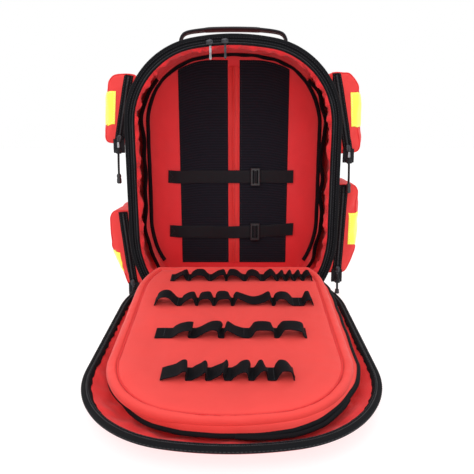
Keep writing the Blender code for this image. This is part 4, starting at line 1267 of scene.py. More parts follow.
# each elastic row: distance up the lid, its shift to the right, then (x, height) in mm along the elastic
ELASTIC = {
    "1": (0.052, 0.0, [(-97, 0.2), (-92, 0.3), (-85, 4.2), (-78, 8.6), (-74, 9.2), (-71.5, 2.0), (-69, 0.3),
                       (-66.5, 0.3), (-64, 4.5), (-56, 9.2), (-46, 8.8), (-41, 3.4), (-37, 0.3), (-34, 0.3),
                       (-31, 2.2), (-22, 8.2), (-15, 9.6), (-12.5, 4.4), (-11.5, 0.3), (-9.5, 0.3),
                       (-7.5, 6.5), (-3.5, 9.6), (6, 8.0), (13, 2.0), (17, 0.3), (20, 0.3), (23, 6.2),
                       (29, 9.4), (37, 6.5), (42, 0.8), (45, 0.3), (48, 0.4), (52, 5.2), (59, 9.8), (64, 4.6),
                       (67, 0.4), (69.5, 0.3), (71.5, 4.0), (75.5, 8.2), (79, 2.0), (80.5, 0.3), (83, 0.3),
                       (85.5, 5.5), (88.5, 8.4), (92, 1.6), (93.5, 0.3), (95.5, 0.3), (98, 4.5), (102, 8.4),
                       (105.5, 1.4), (107, 0.3), (109, 0.3), (111.5, 5.4), (116, 9.0), (119.5, 7.4),
                       (121, 1.0), (122.5, 0.2)]),
    "2": (0.128, 0.0, [(-110, 0.2), (-108, 3.0), (-105, 9.0), (-98, 13.0), (-90, 12.4), (-84.5, 7.0),
                       (-80, 1.6), (-76.5, 0.3), (-73, 0.4), (-69, 5.0), (-62, 9.6), (-55.5, 10.6),
                       (-53, 4.5), (-51.5, 0.4), (-49, 0.3), (-46.5, 7.0), (-42.5, 10.0), (-33, 10.2),
                       (-29.5, 4.5), (-28, 0.4), (-25, 0.3), (-22, 7.5), (-18, 10.6), (-7, 10.4), (-3.5, 4.5),
                       (-2, 0.4), (1, 0.3), (3, 6.0), (6, 10.6), (12, 8.6), (24, 3.4), (33, 2.8), (43, 6.0),
                       (51, 10.2), (54, 5.0), (55.5, 0.4), (58.5, 0.3), (61, 7.0), (67, 10.6), (75, 9.4),
                       (81, 3.6), (85, 0.6), (93, 0.4), (99, 0.4), (101.5, 5.6), (104, 9.8), (109, 9.6),
                       (111, 3.0), (113, 0.2)]),
    "3": (0.208, 0.0020, [(-99, 0.3), (-90, 0.5), (-79, 0.5), (-75, 2.8), (-69, 7.0), (-60, 10.0),
                          (-52.5, 9.6), (-54.5, 5.0), (-57, 1.6), (-53, 0.4), (-48, 0.6), (-42, 3.4),
                          (-34, 8.4), (-27, 11.2), (-19.5, 10.6), (-17, 5.4), (-18.5, 1.0), (-15, 0.3),
                          (-12, 0.5), (-11, 7.0), (-8, 10.6), (-4, 8.6), (3, 4.0), (10, 1.2), (15, 0.4),
                          (20, 0.6), (23.5, 4.6), (27.5, 10.0), (37, 11.0), (47, 9.6), (50, 4.6), (51, 0.5),
                          (55.5, 0.4), (59.5, 6.8), (64, 11.4), (76, 11.2), (85.5, 8.6), (88, 3.4),
                          (89.5, 0.3), (91.7, 0.2)]),
    "4": (0.290, 0.0045, [(-82.7, 0.3), (-77, 2.6), (-66, 6.0), (-59, 11.0), (-54.5, 10.8), (-54, 5.0),
                          (-55, 0.6), (-49, 0.4), (-45, 2.8), (-38, 7.0), (-33.4, 10.6), (-31.6, 4.6),
                          (-33, 0.5), (-28, 0.4), (-23, 3.0), (-15, 7.6), (-12, 11.2), (-10.6, 3.8),
                          (-11.5, 0.4), (-5, 0.4), (-1, 3.4), (6, 9.4), (13, 10.4), (15.4, 3.4), (14.6, 0.4),
                          (20, 0.4), (23, 4.6), (27.5, 11.0), (32, 11.2), (34, 3.8), (35.5, 0.4), (43.5, 0.4),
                          (47, 7.0), (50.5, 11.4), (57.5, 10.8), (62, 5.6), (63.4, 0.8), (64.6, 0.2)]),
}


def build_elastic_rows():
    """Four rows of elastic standing in loops on the flap, tacked down between them."""
    lean = math.atan(PANEL_SLOPE)
    out = np.array([0.0, math.cos(lean), math.sin(lean)])
    across = np.array([0.0, -math.sin(lean), math.cos(lean)])
    for label, (up, along, line) in ELASTIC.items():
        seat = np.array([0.0, panel_level(up) + 0.0008, up])
        flat = curve_through([(x / 1000 + along, h / 1000) for x, h in line], 0.0011)
        flat[:, 1] = np.maximum(flat[:, 1], 0.0003)
        twist = ripples(160 + int(label), 0.030)
        rows = []
        for k, (x, h) in enumerate(flat):
            row = []
            for t in np.linspace(-1, 1, 7):
                lift = 1.0 + 0.10 * t * twist(x, 0.0)
                shift = 0.0022 * t * twist(x, 0.05) * min(1.0, h / 0.004)
                edge = 0.0111 * t * (1 - 0.04 * min(1.0, h / 0.01))
                row.append(seat + [x + shift, 0, 0] + across * edge + out * (0.0003 + (h - 0.0003) * lift))
            rows.append(row)
        rows = np.array(rows)
        normal = unit(np.cross(np.gradient(rows, axis=0), np.gradient(rows, axis=1))) * 0.00055
        upper, under = rows + normal, rows - normal
        shape = closed_skin(np.concatenate([upper, under[:, ::-1]], 1)).mapped(lid_to_world)
        add(f"elastic_loops_{label}", shape, "elastic", "organiser", "black_elastic", f"elastic_row_{label}",
            smooth=60)
        tacks = Shape()
        low = [k for k in range(1, len(flat) - 1) if flat[k, 1] < 0.0007 and flat[k, 1] <= flat[k - 1, 1]]
        last = -1.0
        for k in low:
            if flat[k, 0] - last < 0.006:
                continue
            last = flat[k, 0]
            ends = [seat + [flat[k, 0], 0, 0] + across * e + out * 0.0010 for e in (-0.0105, 0.0105)]
            tacks.join(stitches(lid_to_world(np.array(ends)), lid_direction(out), 0.0022, 0.0008, 0.0003))
        sew(f"elastic_tacks_{label}", tacks, "black_thread", "organiser", "black_elastic")


build_lid()
build_hinge_cloth()
build_organiser()
build_elastic_rows()

# ================================================================ side pockets
def outside_by(points):
    """How far each point lies outside the bag's outline, and the outline's own direction there."""
    x, z = np.abs(points[:, 0]), points[:, 2]
    gap = (x[:, None] - RIGHT[None, :, 0]) ** 2 + (z[:, None] - RIGHT[None, :, 1]) ** 2
    near = gap.argmin(1)
    n = RIGHT[near, 2:4]
    return (x - RIGHT[near, 0]) * n[:, 0] + (z - RIGHT[near, 1]) * n[:, 1], n


def wall_x(z):
    """How far out the bag's wall is at a height."""
    wall = RIGHT[SIDE_FROM:SIDE_TO]
    return float(np.interp(z, wall[:, 1], wall[:, 0]))


# name, side, bottom, top, low chamfer (x, z), high chamfer (x, z), zip's foot x and head x, pull's length and
# the patch's bottom and top
SIDE_POCKETS = (
    ("upper_left", -1, 0.284, 0.400, (0.004, 0.006), (0.008, 0.012), 0.189, 0.168, 0.066, (0.318, 0.370)),
    ("upper_right", 1, 0.268, 0.402, (0.004, 0.010), (0.014, 0.020), 0.191, 0.166, 0.066, (0.314, 0.368)),
    ("lower_left", -1, 0.036, 0.176, (0.028, 0.070), (0.006, 0.010), 0.176, 0.189, 0.030, (0.062, 0.100)),
    ("lower_right", 1, 0.060, 0.222, (0.018, 0.040), (0.006, 0.010), 0.181, 0.186, 0.034, (0.115, 0.170)),
)
POCKET_OUT, POCKET_FRONT, POCKET_BACK = 0.216, -0.0450, 0.0600


def build_side_pocket(label, side, low, high, low_cut, high_cut, zip_foot, zip_head, pull, patch):
    """One boxy side pocket, with its piping, slanted zip, webbing tab, reflective patch and slider."""
    shrink = 0.0028
    lean = 0.0100 if low > 0.25 else 0.0

    def narrow(z):
        """How much nearer the bag the pocket's outer side is at a height."""
        return lean * np.clip((np.asarray(z) - low) / (high - low), 0, 1)
    inner = [(wall_x(z) + 0.0012, z) for z in np.linspace(low + shrink, high - shrink, 9)]
    outer = [(POCKET_OUT - high_cut[0] - shrink, high - shrink),
             (POCKET_OUT - shrink, high - high_cut[1] - shrink),
             (POCKET_OUT - shrink, low + low_cut[1] + shrink),
             (POCKET_OUT - low_cut[0] - shrink, low + shrink)]
    rows = []
    for y, tuck in ((POCKET_FRONT + 0.0018, 0.0012), (POCKET_FRONT + 0.0040, 0.0),
                    (POCKET_BACK - 0.0050, 0.0), (POCKET_BACK - 0.0022, 0.0015)):
        centre_x, centre_z = 0.192, (low + high) / 2
        ring = []
        for x, z in inner + outer:
            if (x, z) in outer:
                x -= tuck if x > centre_x else 0
                z += tuck if z < centre_z else -tuck
            ring.append((side * (x - (narrow(z) if x > centre_x else 0)), y, z))
        rows.append(ring)

    def held(points):
        return outside_by(points)[0] < 0.004

    def limit(points):
        made = points.copy()
        gap, n = outside_by(made)
        push = np.maximum(0.0, 0.0010 - gap)
        made[:, 0] += np.sign(made[:, 0]) * push * n[:, 0]
        made[:, 2] += push * n[:, 1]
        made[:, 1] = np.clip(made[:, 1], POCKET_FRONT - 0.0001, POCKET_BACK + 0.002)
        made[:, 0] = np.clip(made[:, 0], -POCKET_OUT - 0.0012, POCKET_OUT + 0.0012)
        return made

    seed = 200 + len(label) + (7 if side > 0 else 0) + int(low * 100)
    pocket = puff(f"side_pocket_{label}", closed_skin(rows), "red", 0.0045, 0.0042, 5.0, held, limit,
                  0.0010, 0.040, seed)
    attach(pocket, "bag")
    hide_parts(f"pocket_{label}")
    tree = surface_of(pocket)

    # piping round the front and back panels, on the outer side
    border = [(wall_x(high - 0.004) + 0.002, high), (POCKET_OUT - high_cut[0], high),
              (POCKET_OUT, high - high_cut[1]), (POCKET_OUT, low + low_cut[1]),
              (POCKET_OUT - low_cut[0], low), (wall_x(low + 0.004) + 0.002, low)]
    border = [(x - float(narrow(z)) * (x > 0.18), z) for x, z in resample(border, 0.0035)]
    for spot, y in (("front", POCKET_FRONT + 0.0015), ("back", POCKET_BACK - 0.0015)):
        guess = [(side * x, y, z) for x, z in border]
        line, _ = laid_on(tree, guess, 0.0004)
        line[1:-1] = (line[:-2] + 2 * line[1:-1] + line[2:]) / 4
        line = curve_through(line[::3], 0.0022)
        z = line[:, 2]
        under = (np.abs(line[:, 0]) > 0.19) & (z > patch[0] - 0.001) & (z < patch[1] + 0.001)
        if spot == "front":
            line[under] -= np.array([side * 0.0013, -0.0013, 0.0])
        add(f"pocket_piping_{spot}_{label}", tube(line, 0.0011, 8), "red_cord", "bag", "red_nylon")
    guess = [(side * x, 0.012, z) for x, z in np.array(border)[2:-2]]
    line, ups = laid_on(tree, resample(guess, 0.002), 0.0002)
    sew(f"pocket_stitching_{label}", stitches(line, ups), "red_thread", "bag", "red_nylon")

    # the slanted zip: tape, raised coil and stitched edges
    foot = np.array([side * zip_foot, -0.0461, low + 0.005])
    head = np.array([side * zip_head, -0.0461, high - 0.006])
    middle = resample([foot + (foot - head) * 0.02, head + (head - foot) * 0.03], 0.003)
    along = unit(head - foot)
    over = np.array([along[2], 0.0, -along[0]])
    spots = np.linspace(-0.0078, 0.0078, 13)
    rise = np.interp(np.abs(spots), [0, 0.0014, 0.0022, 0.0040, 0.0052, 0.0070, 0.0078],
                     [0.0021, 0.0019, 0.0010, 0.0010, 0.0016, 0.0013, 0.0002])
    upper, ups = laid_on(tree, (middle[:, None, :] + spots[None, :, None] * over).reshape(-1, 3), 0.0)
    upper = upper.reshape(len(middle), len(spots), 3)
    upper[:, :, 1] = -0.0450 + (upper[:, :, 1] + 0.0450) * 0.5
    base = upper + [0, 0.0006, 0]
    upper = upper - rise[None, :, None] * np.array([0, 1.0, 0])
    shape = closed_skin(np.concatenate([upper, base[:, ::-1]], 1))
    add(f"pocket_zip_tape_{label}", shape, "zip_tape", "bag", "black_zip", f"pocket_zip_{label}")
    size = np.linalg.norm(head - foot)
    marks = np.linspace(0.001, size - 0.001, int(size / 0.00055))
    tooth = coil_teeth(marks, 0.00065, 0.00030)
    spine = foot + marks[:, None] * along
    spine[:, 1] = np.interp(marks, np.linspace(0, size, len(upper)), upper[:, 6, 1]) + 0.0002
    rows = [spine + tooth[:, None] * (math.cos(a) * over * 1.8 + math.sin(a) * np.array([0, 1.0, 0]))
            for a in circle(7)]
    add(f"pocket_zip_coil_{label}", closed_skin(np.stack(rows, 1)), "coil", "bag", "black_zip")
    for number, k in enumerate((2, 10)):
        sew(f"pocket_zip_stitching_{number + 1}_{label}", stitches(upper[:, k] - [0, 0.0001, 0], (0, -1, 0)),
            "black_thread", "bag", "black_zip")

    # webbing tab under the zip
    x, z = foot[0] - along[0] * 0.002, low
    line = curve_through([(x, -0.0446, z + 0.010), (x, -0.0452, z + 0.002), (x, -0.0462, z - 0.005),
                          (x, -0.0458, z - 0.0115), (x, -0.0448, z - 0.0122), (x, -0.0440, z - 0.0110),
                          (x, -0.0438, z - 0.004), (x, -0.0436, z + 0.004)], 0.0012)
    add(f"pocket_tab_{label}", strap(line, 0.0185, 0.0011, (1, 0, 0)), "webbing", "bag", "black_webbing")

    # reflective patch wrapped round the outer front edge
    out_x, front_y = POCKET_OUT + 0.001, POCKET_FRONT - 0.001
    path = resample([(0.1975, front_y), (out_x, front_y), (out_x, 0.030)], 0.0022)
    rows = np.array([[(side * (x - float(narrow(z))), y, z) for x, y in path]
                     for z in np.linspace(patch[0], patch[1], 24)])
    skin, ups = laid_on(tree, rows.reshape(-1, 3), 0.0)
    skin, ups = skin.reshape(rows.shape), ups.reshape(rows.shape)
    up_gap, over_gap = (np.minimum(np.arange(count), np.arange(count)[::-1]) for count in rows.shape[:2])
    border_gap = np.minimum.outer(up_gap * (patch[1] - patch[0]) / 23, over_gap * 0.0022)
    lift = np.interp(border_gap, [0, 0.001, 0.0022, 0.0035], [0.0005, 0.0013, 0.0010, 0.0013])
    top = skin + ups * lift[..., None]
    shape = closed_skin(np.concatenate([top, (skin - ups * 0.0003)[:, ::-1]], 1))
    add(f"reflective_vinyl_{label}", shape, "yellow", "bag", "reflective_yellow", f"reflective_patch_{label}")
    edge, edge_up = (np.vstack([a[1, 1:-1], a[1:-1, -2], a[-2, 1:-1][::-1], a[1:-1, 1][::-1], a[1:2, 1]])
                     for a in (top, ups))
    sew(f"reflective_stitching_{label}", stitches(edge, edge_up), "white_thread", "bag", "reflective_yellow")

    tilt = math.atan2(side * (zip_head - zip_foot), high - low - 0.011)
    build_pocket_slider(label, side, tilt, pull)


def placed(shape, origin, tilt):
    """A shape turned about the Y axis by tilt and moved to origin."""
    c, s = math.cos(tilt), math.sin(tilt)

    def move(points):
        x, y, z = points[:, 0], points[:, 1], points[:, 2]
        return np.stack([origin[0] + c * x + s * z, origin[1] + y, origin[2] - s * x + c * z], 1)
    return shape.mapped(move)


def plate(outline, y_front, y_back, bevel=0.0004):
    """A flat plate from an (x, z) outline, with softened edges."""
    p = np.array(outline, float)
    middle = p.mean(0)

    def ring(y, shrink):
        size = np.linalg.norm(p - middle, axis=1, keepdims=True)
        q = middle + (p - middle) * (1 - shrink / np.maximum(size, 1e-6))
        return np.stack([q[:, 0], np.full(len(q), y), q[:, 1]], 1)
    return closed_skin([ring(y_front, bevel), ring(y_front + bevel * 0.7, 0.0),
                        ring(y_back - bevel * 0.7, 0.0), ring(y_back, bevel)])


def rounded(outline, radius, steps=4):
    """An outline of (x, z) corners with its corners rounded."""
    p = [np.array(q, float) for q in outline]
    made = []
    for k, corner in enumerate(p):
        before, after = p[k - 1], p[(k + 1) % len(p)]
        a = corner + unit(before - corner) * min(radius, np.linalg.norm(before - corner) * 0.45)
        b = corner + unit(after - corner) * min(radius, np.linalg.norm(after - corner) * 0.45)
        for t in np.linspace(0, 1, steps):
            made.append((1 - t) ** 2 * a + 2 * t * (1 - t) * corner + t * t * b)
    return made


def slider_shape():
    """A zip slider: two shield plates, a core and the bridge that holds its pull; it faces -Y from y = 0."""
    shield = rounded([(-0.0026, -0.0053), (0.0026, -0.0053), (0.0037, -0.0010), (0.0038, 0.0030),
                      (0.0022, 0.0053), (-0.0022, 0.0053), (-0.0038, 0.0030), (-0.0037, -0.0010)], 0.0010)
    made = plate(shield, -0.0016, 0.0, 0.0003)
    made.join(plate([(x * 0.92, z * 0.94) for x, z in shield], -0.0042, -0.0029, 0.0003))
    made.join(plate(rounded([(-0.0009, -0.0020), (0.0009, -0.0020), (0.0014, 0.0042), (-0.0014, 0.0042)],
                            0.0005),
                    -0.0032, -0.0012, 0.0001))
    line = curve_through([(0, -0.0038, 0.0036), (0, -0.0053, 0.0030), (0, -0.0058, 0.0008),
                          (0, -0.0057, -0.0022), (0, -0.0050, -0.0040), (0, -0.0038, -0.0043)], 0.0007)
    return made.join(strap(line, 0.0019, 0.0009, (1, 0, 0)))


def build_pocket_slider(label, side, tilt, pull):
    """A side pocket's slider, and its cord pull with a lug, a knot and a toggle."""
    lo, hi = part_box(f"pocket_slider_{label}")
    centre = ((lo.x + hi.x) / 2, hi.y, (lo.z + hi.z) / 2)
    add(f"zip_slider_{label}", placed(slider_shape(), centre, tilt), "dark_metal", f"slider_{label}",
        "dark_metal", f"pocket_slider_{label}")
    lo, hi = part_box(f"pocket_pull_{label}")
    x, y, top = (lo.x + hi.x) / 2, (lo.y + hi.y) / 2 - 0.0008, hi.z - 0.0008
    body = f"pull_{label}"
    long = pull > 0.05
    # metal lug
    lug = rounded([(-0.0017, 0.0012), (0.0017, 0.0012), (0.0021, -0.0060), (0.0014, -0.0105),
                   (-0.0014, -0.0105), (-0.0021, -0.0060)], 0.0009)
    add(f"pull_lug_{label}", placed(plate(lug, -0.0007, 0.0007), (x, y, top), 0.0),
        "grey_metal" if long else "dark_metal", body, "dark_metal")
    start = top - 0.0080
    front = y - 0.0014          # the cord hangs clear of the coil
    sway = 0.0012 * side
    reach = pull - (0.0080 if long else 0.0070)
    if long:
        route = [(x, y, start), (x + 0.2 * sway, front - 0.0004, start - 0.25 * reach),
                 (x + 0.8 * sway, front, start - 0.55 * reach),
                 (x + sway, front + 0.0003, start - 0.80 * reach), (x + sway, front, start - reach)]
    else:
        route = [(x, y, start + 0.0078), (x, front - 0.0002, start - 0.3 * reach),
                 (x + 0.3 * sway, front, start - 0.7 * reach), (x + 0.3 * sway, front, start - reach)]
    line = curve_through(route, 0.0022)
    curve = bpy.data.curves.new(f"pull_cord_{label}", "CURVE")
    curve.dimensions = "3D"
    curve.bevel_depth = 0.0019
    curve.bevel_resolution = 3
    curve.use_fill_caps = True
    spline = curve.splines.new("POLY")
    spline.points.add(len(line) - 1)
    for point, place in zip(spline.points, line):
        point.co = (*place, 1.0)
    curve.materials.append(MAT["cord"])
    cord = bpy.data.objects.new(f"pull_cord_{label}", curve)
    bpy.context.scene.collection.objects.link(cord)
    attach(cord, body)
    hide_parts(f"pocket_pull_{label}")
    # ball knot near the top and a moulded toggle at the end
    knot_z = start - (0.10 if long else 0.16) * reach
    turns = np.linspace(0, 2 * math.pi * 3, 60)
    wrap = np.stack([x + 0.0036 * np.cos(turns), front + 0.0019 * np.sin(turns),
                     knot_z + 0.0024 - 0.0048 * turns / turns[-1]], 1)
    knot = tube(wrap, 0.0016, 8)
    wrap = np.stack([x + 0.0020 * np.cos(turns * 2 / 3), front + 0.0018 * np.sin(turns * 2 / 3),
                     knot_z + 0.0032 * np.cos(turns * 2 / 3 + 0.6)], 1)
    knot.join(tube(wrap[:40], 0.0013, 8))
    ball = add(f"pull_knot_{label}", knot, "cord", body, "black_cord")
    end = np.array(line[-1])
    size = 0.016 if long else 0.008
    zs = np.linspace(0, 1, 12)
    radius = 0.0038 * np.interp(zs, [0, 0.08, 0.3, 0.42, 0.5, 0.9, 1.0],
                                [0.62, 0.95, 1.0, 0.82, 1.0, 1.08, 0.70])
    spine = np.stack([np.full(12, end[0]), np.full(12, end[1]), end[2] + size - 0.0006 - size * zs], 1)
    toggle = add(f"pull_toggle_{label}", tube(spine, 0.0033, 14, radii=radius), "plastic", body,
                 "black_plastic")


for pocket_row in SIDE_POCKETS:
    build_side_pocket(*pocket_row)


# ================================================================ main sliders and handle
def build_main_sliders():
    """The two sliders that meet at the crown, turned along the zip, and their pull tabs."""
    for label, finish in (("left", "grey_metal"), ("right", "dark_metal")):
        lo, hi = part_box(f"main_slider_{label}")
        x, z = (lo.x + hi.x) / 2, (lo.z + hi.z) / 2
        tilt = math.atan2(x, z - CROWN_Z)
        spot = (x + 0.0060 * math.sin(tilt), hi.y, z + 0.0060 * math.cos(tilt))
        shape = placed(slider_shape(), spot, tilt + math.pi / 2)
        add(f"crown_slider_{label}", shape, "dark_metal", f"main_slider_{label}", finish,
            f"main_slider_{label}")
        lo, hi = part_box(f"main_pull_{label}")
        x, y, top = (lo.x + hi.x) / 2, (lo.y + hi.y) / 2, hi.z - 0.0008
        size = hi.z - lo.z - 0.0008
        blade = rounded([(-0.0016, 0.0074), (0.0016, 0.0074), (0.0019, -0.0010), (0.0015, -0.0045),
                         (0.0019, 0.0055 - size), (0.0012, 0.0035 - size), (-0.0012, 0.0035 - size),
                         (-0.0019, 0.0055 - size), (-0.0015, -0.0045), (-0.0019, -0.0010)], 0.0007)
        shape = plate(blade, -0.0007, 0.0007, 0.0003)
        ring = circle(20)
        loop = np.stack([0.0010 * np.cos(ring), np.full(20, -0.0007), 0.0054 + 0.0012 * np.sin(ring)], 1)
        shape.join(tube(loop, 0.0004, 8, closed=True))
        rib = [(0, -0.0008, -0.0025), (0, -0.0008, 0.0065 - size)]
        shape.join(tube(resample(rib, 0.001), 0.0006, 8))
        add(f"crown_pull_{label}", placed(shape, (x, y, top), 0.0), finish, f"main_pull_{label}", finish,
            f"main_pull_{label}")


def build_handle():
    """The carry handle's webbing and rolled grip, and the webbing that holds it to the crown."""
    right = [(0.0880, 0, 0.4465), (0.0874, 0, 0.4560), (0.0785, 0, 0.4655), (0.050, 0, 0.4700),
             (0.018, 0, 0.4714)]
    points = [(-x, y, z) for x, y, z in right] + right[::-1]
    line = curve_through(points, 0.0028)
    size = len(line)
    t = np.linspace(0, math.pi, size)
    width = 0.0110 + 0.0140 * np.sin(t) ** 0.5
    add("handle_webbing", strap(line, width, 0.0042, (0, 1, 0)), "webbing", "handle", "black_webbing",
        "carry_handle")
    # rolled grip over the middle
    part = line[int(size * 0.27):int(size * 0.73)]
    turn = circle(18)
    ends = np.minimum(np.arange(len(part)), np.arange(len(part))[::-1])
    swell = np.interp(ends, [0, 1, 3], [0.72, 0.95, 1.0])
    half_width, half_depth, seam_y = 0.0131, 0.0038, 0.0108
    rows = [p + np.stack([0 * turn, half_width * k * np.cos(turn), half_depth * k * np.sin(turn)], 1)
            for p, k in zip(part, swell)]
    add("handle_grip", closed_skin(rows), "black_cloth", "handle", "black_webbing")
    seam = Shape()
    rise = half_depth * math.sqrt(1 - (seam_y / half_width) ** 2)
    for y in (-seam_y, seam_y):
        seam.join(stitches(part[2:-2] + [0, y, rise], (0, 0, 1)))
    sew("handle_stitching", seam, "black_thread", "handle", "black_webbing")
    for label, side in (("left", -1), ("right", 1)):
        # webbing sewn along the crown, with a turned-up loop round the handle's end
        x, z, nx, nz = edge_at(np.linspace(distance_to_x(0.112), distance_to_x(0.052), 34))
        mid = np.stack([side * (x + nx * 0.0016), 0 * x, z + nz * 0.0016], 1)
        out = np.stack([side * nx, 0 * x, nz], 1)
        add(f"handle_base_{label}", strap(mid, 0.0240, 0.0016, (0, 1, 0)), "webbing", "bag", "black_webbing")
        box_stitch = Shape()
        for y in (-0.0095, 0.0095):
            box_stitch.join(stitches(mid + out * 0.0010 + [0, y, 0], out))
        sew(f"handle_base_stitching_{label}", box_stitch, "black_thread", "bag", "black_webbing")
        ring = circle(26)
        loop = np.stack([side * 0.0880 + 0.0052 * np.cos(ring), 0 * ring, 0.4432 + 0.0040 * np.sin(ring)], 1)
        add(f"handle_loop_{label}", strap(loop, 0.0125, 0.0012, (0, 1, 0), closed=True), "webbing", "bag",
            "black_webbing", f"handle_anchor_{label}")


build_main_sliders()
build_handle()


# ================================================================ the wearer's side
PAD_FRONT, PAD_BACK = 0.0826, 0.0966


def cushion_binding(name, x, low, high, corner, steps, y, radius):
    """Binding round a cushion's rounded outline."""
    border = rounded([(-x, low), (x, low), (x, high), (-x, high)], corner, steps)
    line = resample(np.vstack([border, border[:1]]), 0.003)[:-1]
    line = np.stack([line[:, 0], np.full(len(line), y), line[:, 1]], 1)
    add(name, tube(line, radius, 8, closed=True), "binding", "bag", "black_webbing")


def build_back_pads():
    """The quilted back cushion and the lumbar cushion on it."""
    half_width, half_height, middle_z = 0.1206, 0.1606, 0.228

    def pad_base(x, low, high, front, back, corner):
        outline = rounded([(-x, low), (x, low), (x, high), (-x, high)], corner, 7)
        rows = []
        for y, shrink in ((front, 0.004), (front + 0.002, 0.0015), (back - 0.003, 0.0015),
                          (back - 0.0005, 0.005)):
            middle = np.array([0, (low + high) / 2])
            rows.append([(q[0] * (1 - shrink / x), y,
                          middle[1] + (q[1] - middle[1]) * (1 - shrink / (high - middle[1])))
                         for q in outline])
        return grid(rows, wrap_cols=True, caps=True)

    def limit(points):
        made = points.copy()
        # swelling draws the outline in, so it is let out again
        made[:, 0] *= half_width / np.abs(made[:, 0]).max()
        made[:, 2] = middle_z + (made[:, 2] - middle_z) * half_height / np.abs(made[:, 2] - middle_z).max()
        made[:, 1] = np.clip(made[:, 1], PAD_FRONT, PAD_BACK + 0.003)
        x, z, y = made[:, 0], made[:, 2], made[:, 1]
        behind = np.clip((y - PAD_FRONT - 0.005) / 0.005, 0, 1)
        groove = np.exp(-((np.abs(x) - 0.040) / 0.0045) ** 2)
        for level in (0.160, 0.235, 0.310):
            across = np.exp(-((z - level - 0.02 * np.cos(x * 18)) / 0.0045) ** 2)
            groove = np.maximum(groove, across * (np.abs(x) < 0.112))
        under = (np.abs(x) < 0.069) & (z > 0.070) & (z < 0.136)
        made[:, 1] = y - behind * groove * 0.0060
        made[:, 1] = np.where(under, np.minimum(made[:, 1], PAD_BACK - 0.0008), made[:, 1])
        return made
    pad = puff("back_cushion", pad_base(0.1215, 0.0665, 0.3895, PAD_FRONT, PAD_BACK, 0.010), "mesh", 0.004,
               0.0048, 4.0, lambda p: p[:, 1] < PAD_FRONT + 0.001, limit, 0.0004, 0.05, 301)
    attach(pad, "bag")
    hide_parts("back_pad")
    tree = surface_of(pad)
    cushion_binding("back_cushion_binding", 0.1205, 0.0675, 0.3885, 0.010, 12, PAD_FRONT + 0.0030, 0.0022)
    seams = Shape()
    for x in (-0.0465, -0.0335, 0.0335, 0.0465):
        guess = [(x, PAD_BACK, z) for z in np.linspace(0.142, 0.378, 80)]
        path, ups = laid_on(tree, guess, 0.0001)
        seams.join(stitches(path, ups))
    sew("back_cushion_stitching", seams, "black_thread", "bag", "black_mesh")

    def lumbar_limit(points):
        made = points.copy()
        made[:, 1] = np.clip(made[:, 1], PAD_BACK + 0.0003, PAD_BACK + 0.0152)
        deep = np.clip((made[:, 1] - PAD_BACK - 0.006) / 0.005, 0, 1)
        for x in (-0.024, 0.024):
            made[:, 1] -= deep * 0.0035 * np.exp(-((made[:, 0] - x) / 0.0035) ** 2)
        return made
    lumbar = puff("lumbar_cushion",
                  pad_base(0.0695, 0.0705, 0.1345, PAD_BACK + 0.0004, PAD_BACK + 0.0138, 0.016), "mesh",
                  0.003, 0.0042, 4.0, lambda p: p[:, 1] < PAD_BACK + 0.001, lumbar_limit, 0.0003, 0.04, 305)
    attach(lumbar, "bag")
    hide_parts("lumbar_pad")
    cushion_binding("lumbar_binding", 0.0685, 0.0715, 0.1335, 0.016, 10, PAD_BACK + 0.0026, 0.0019)


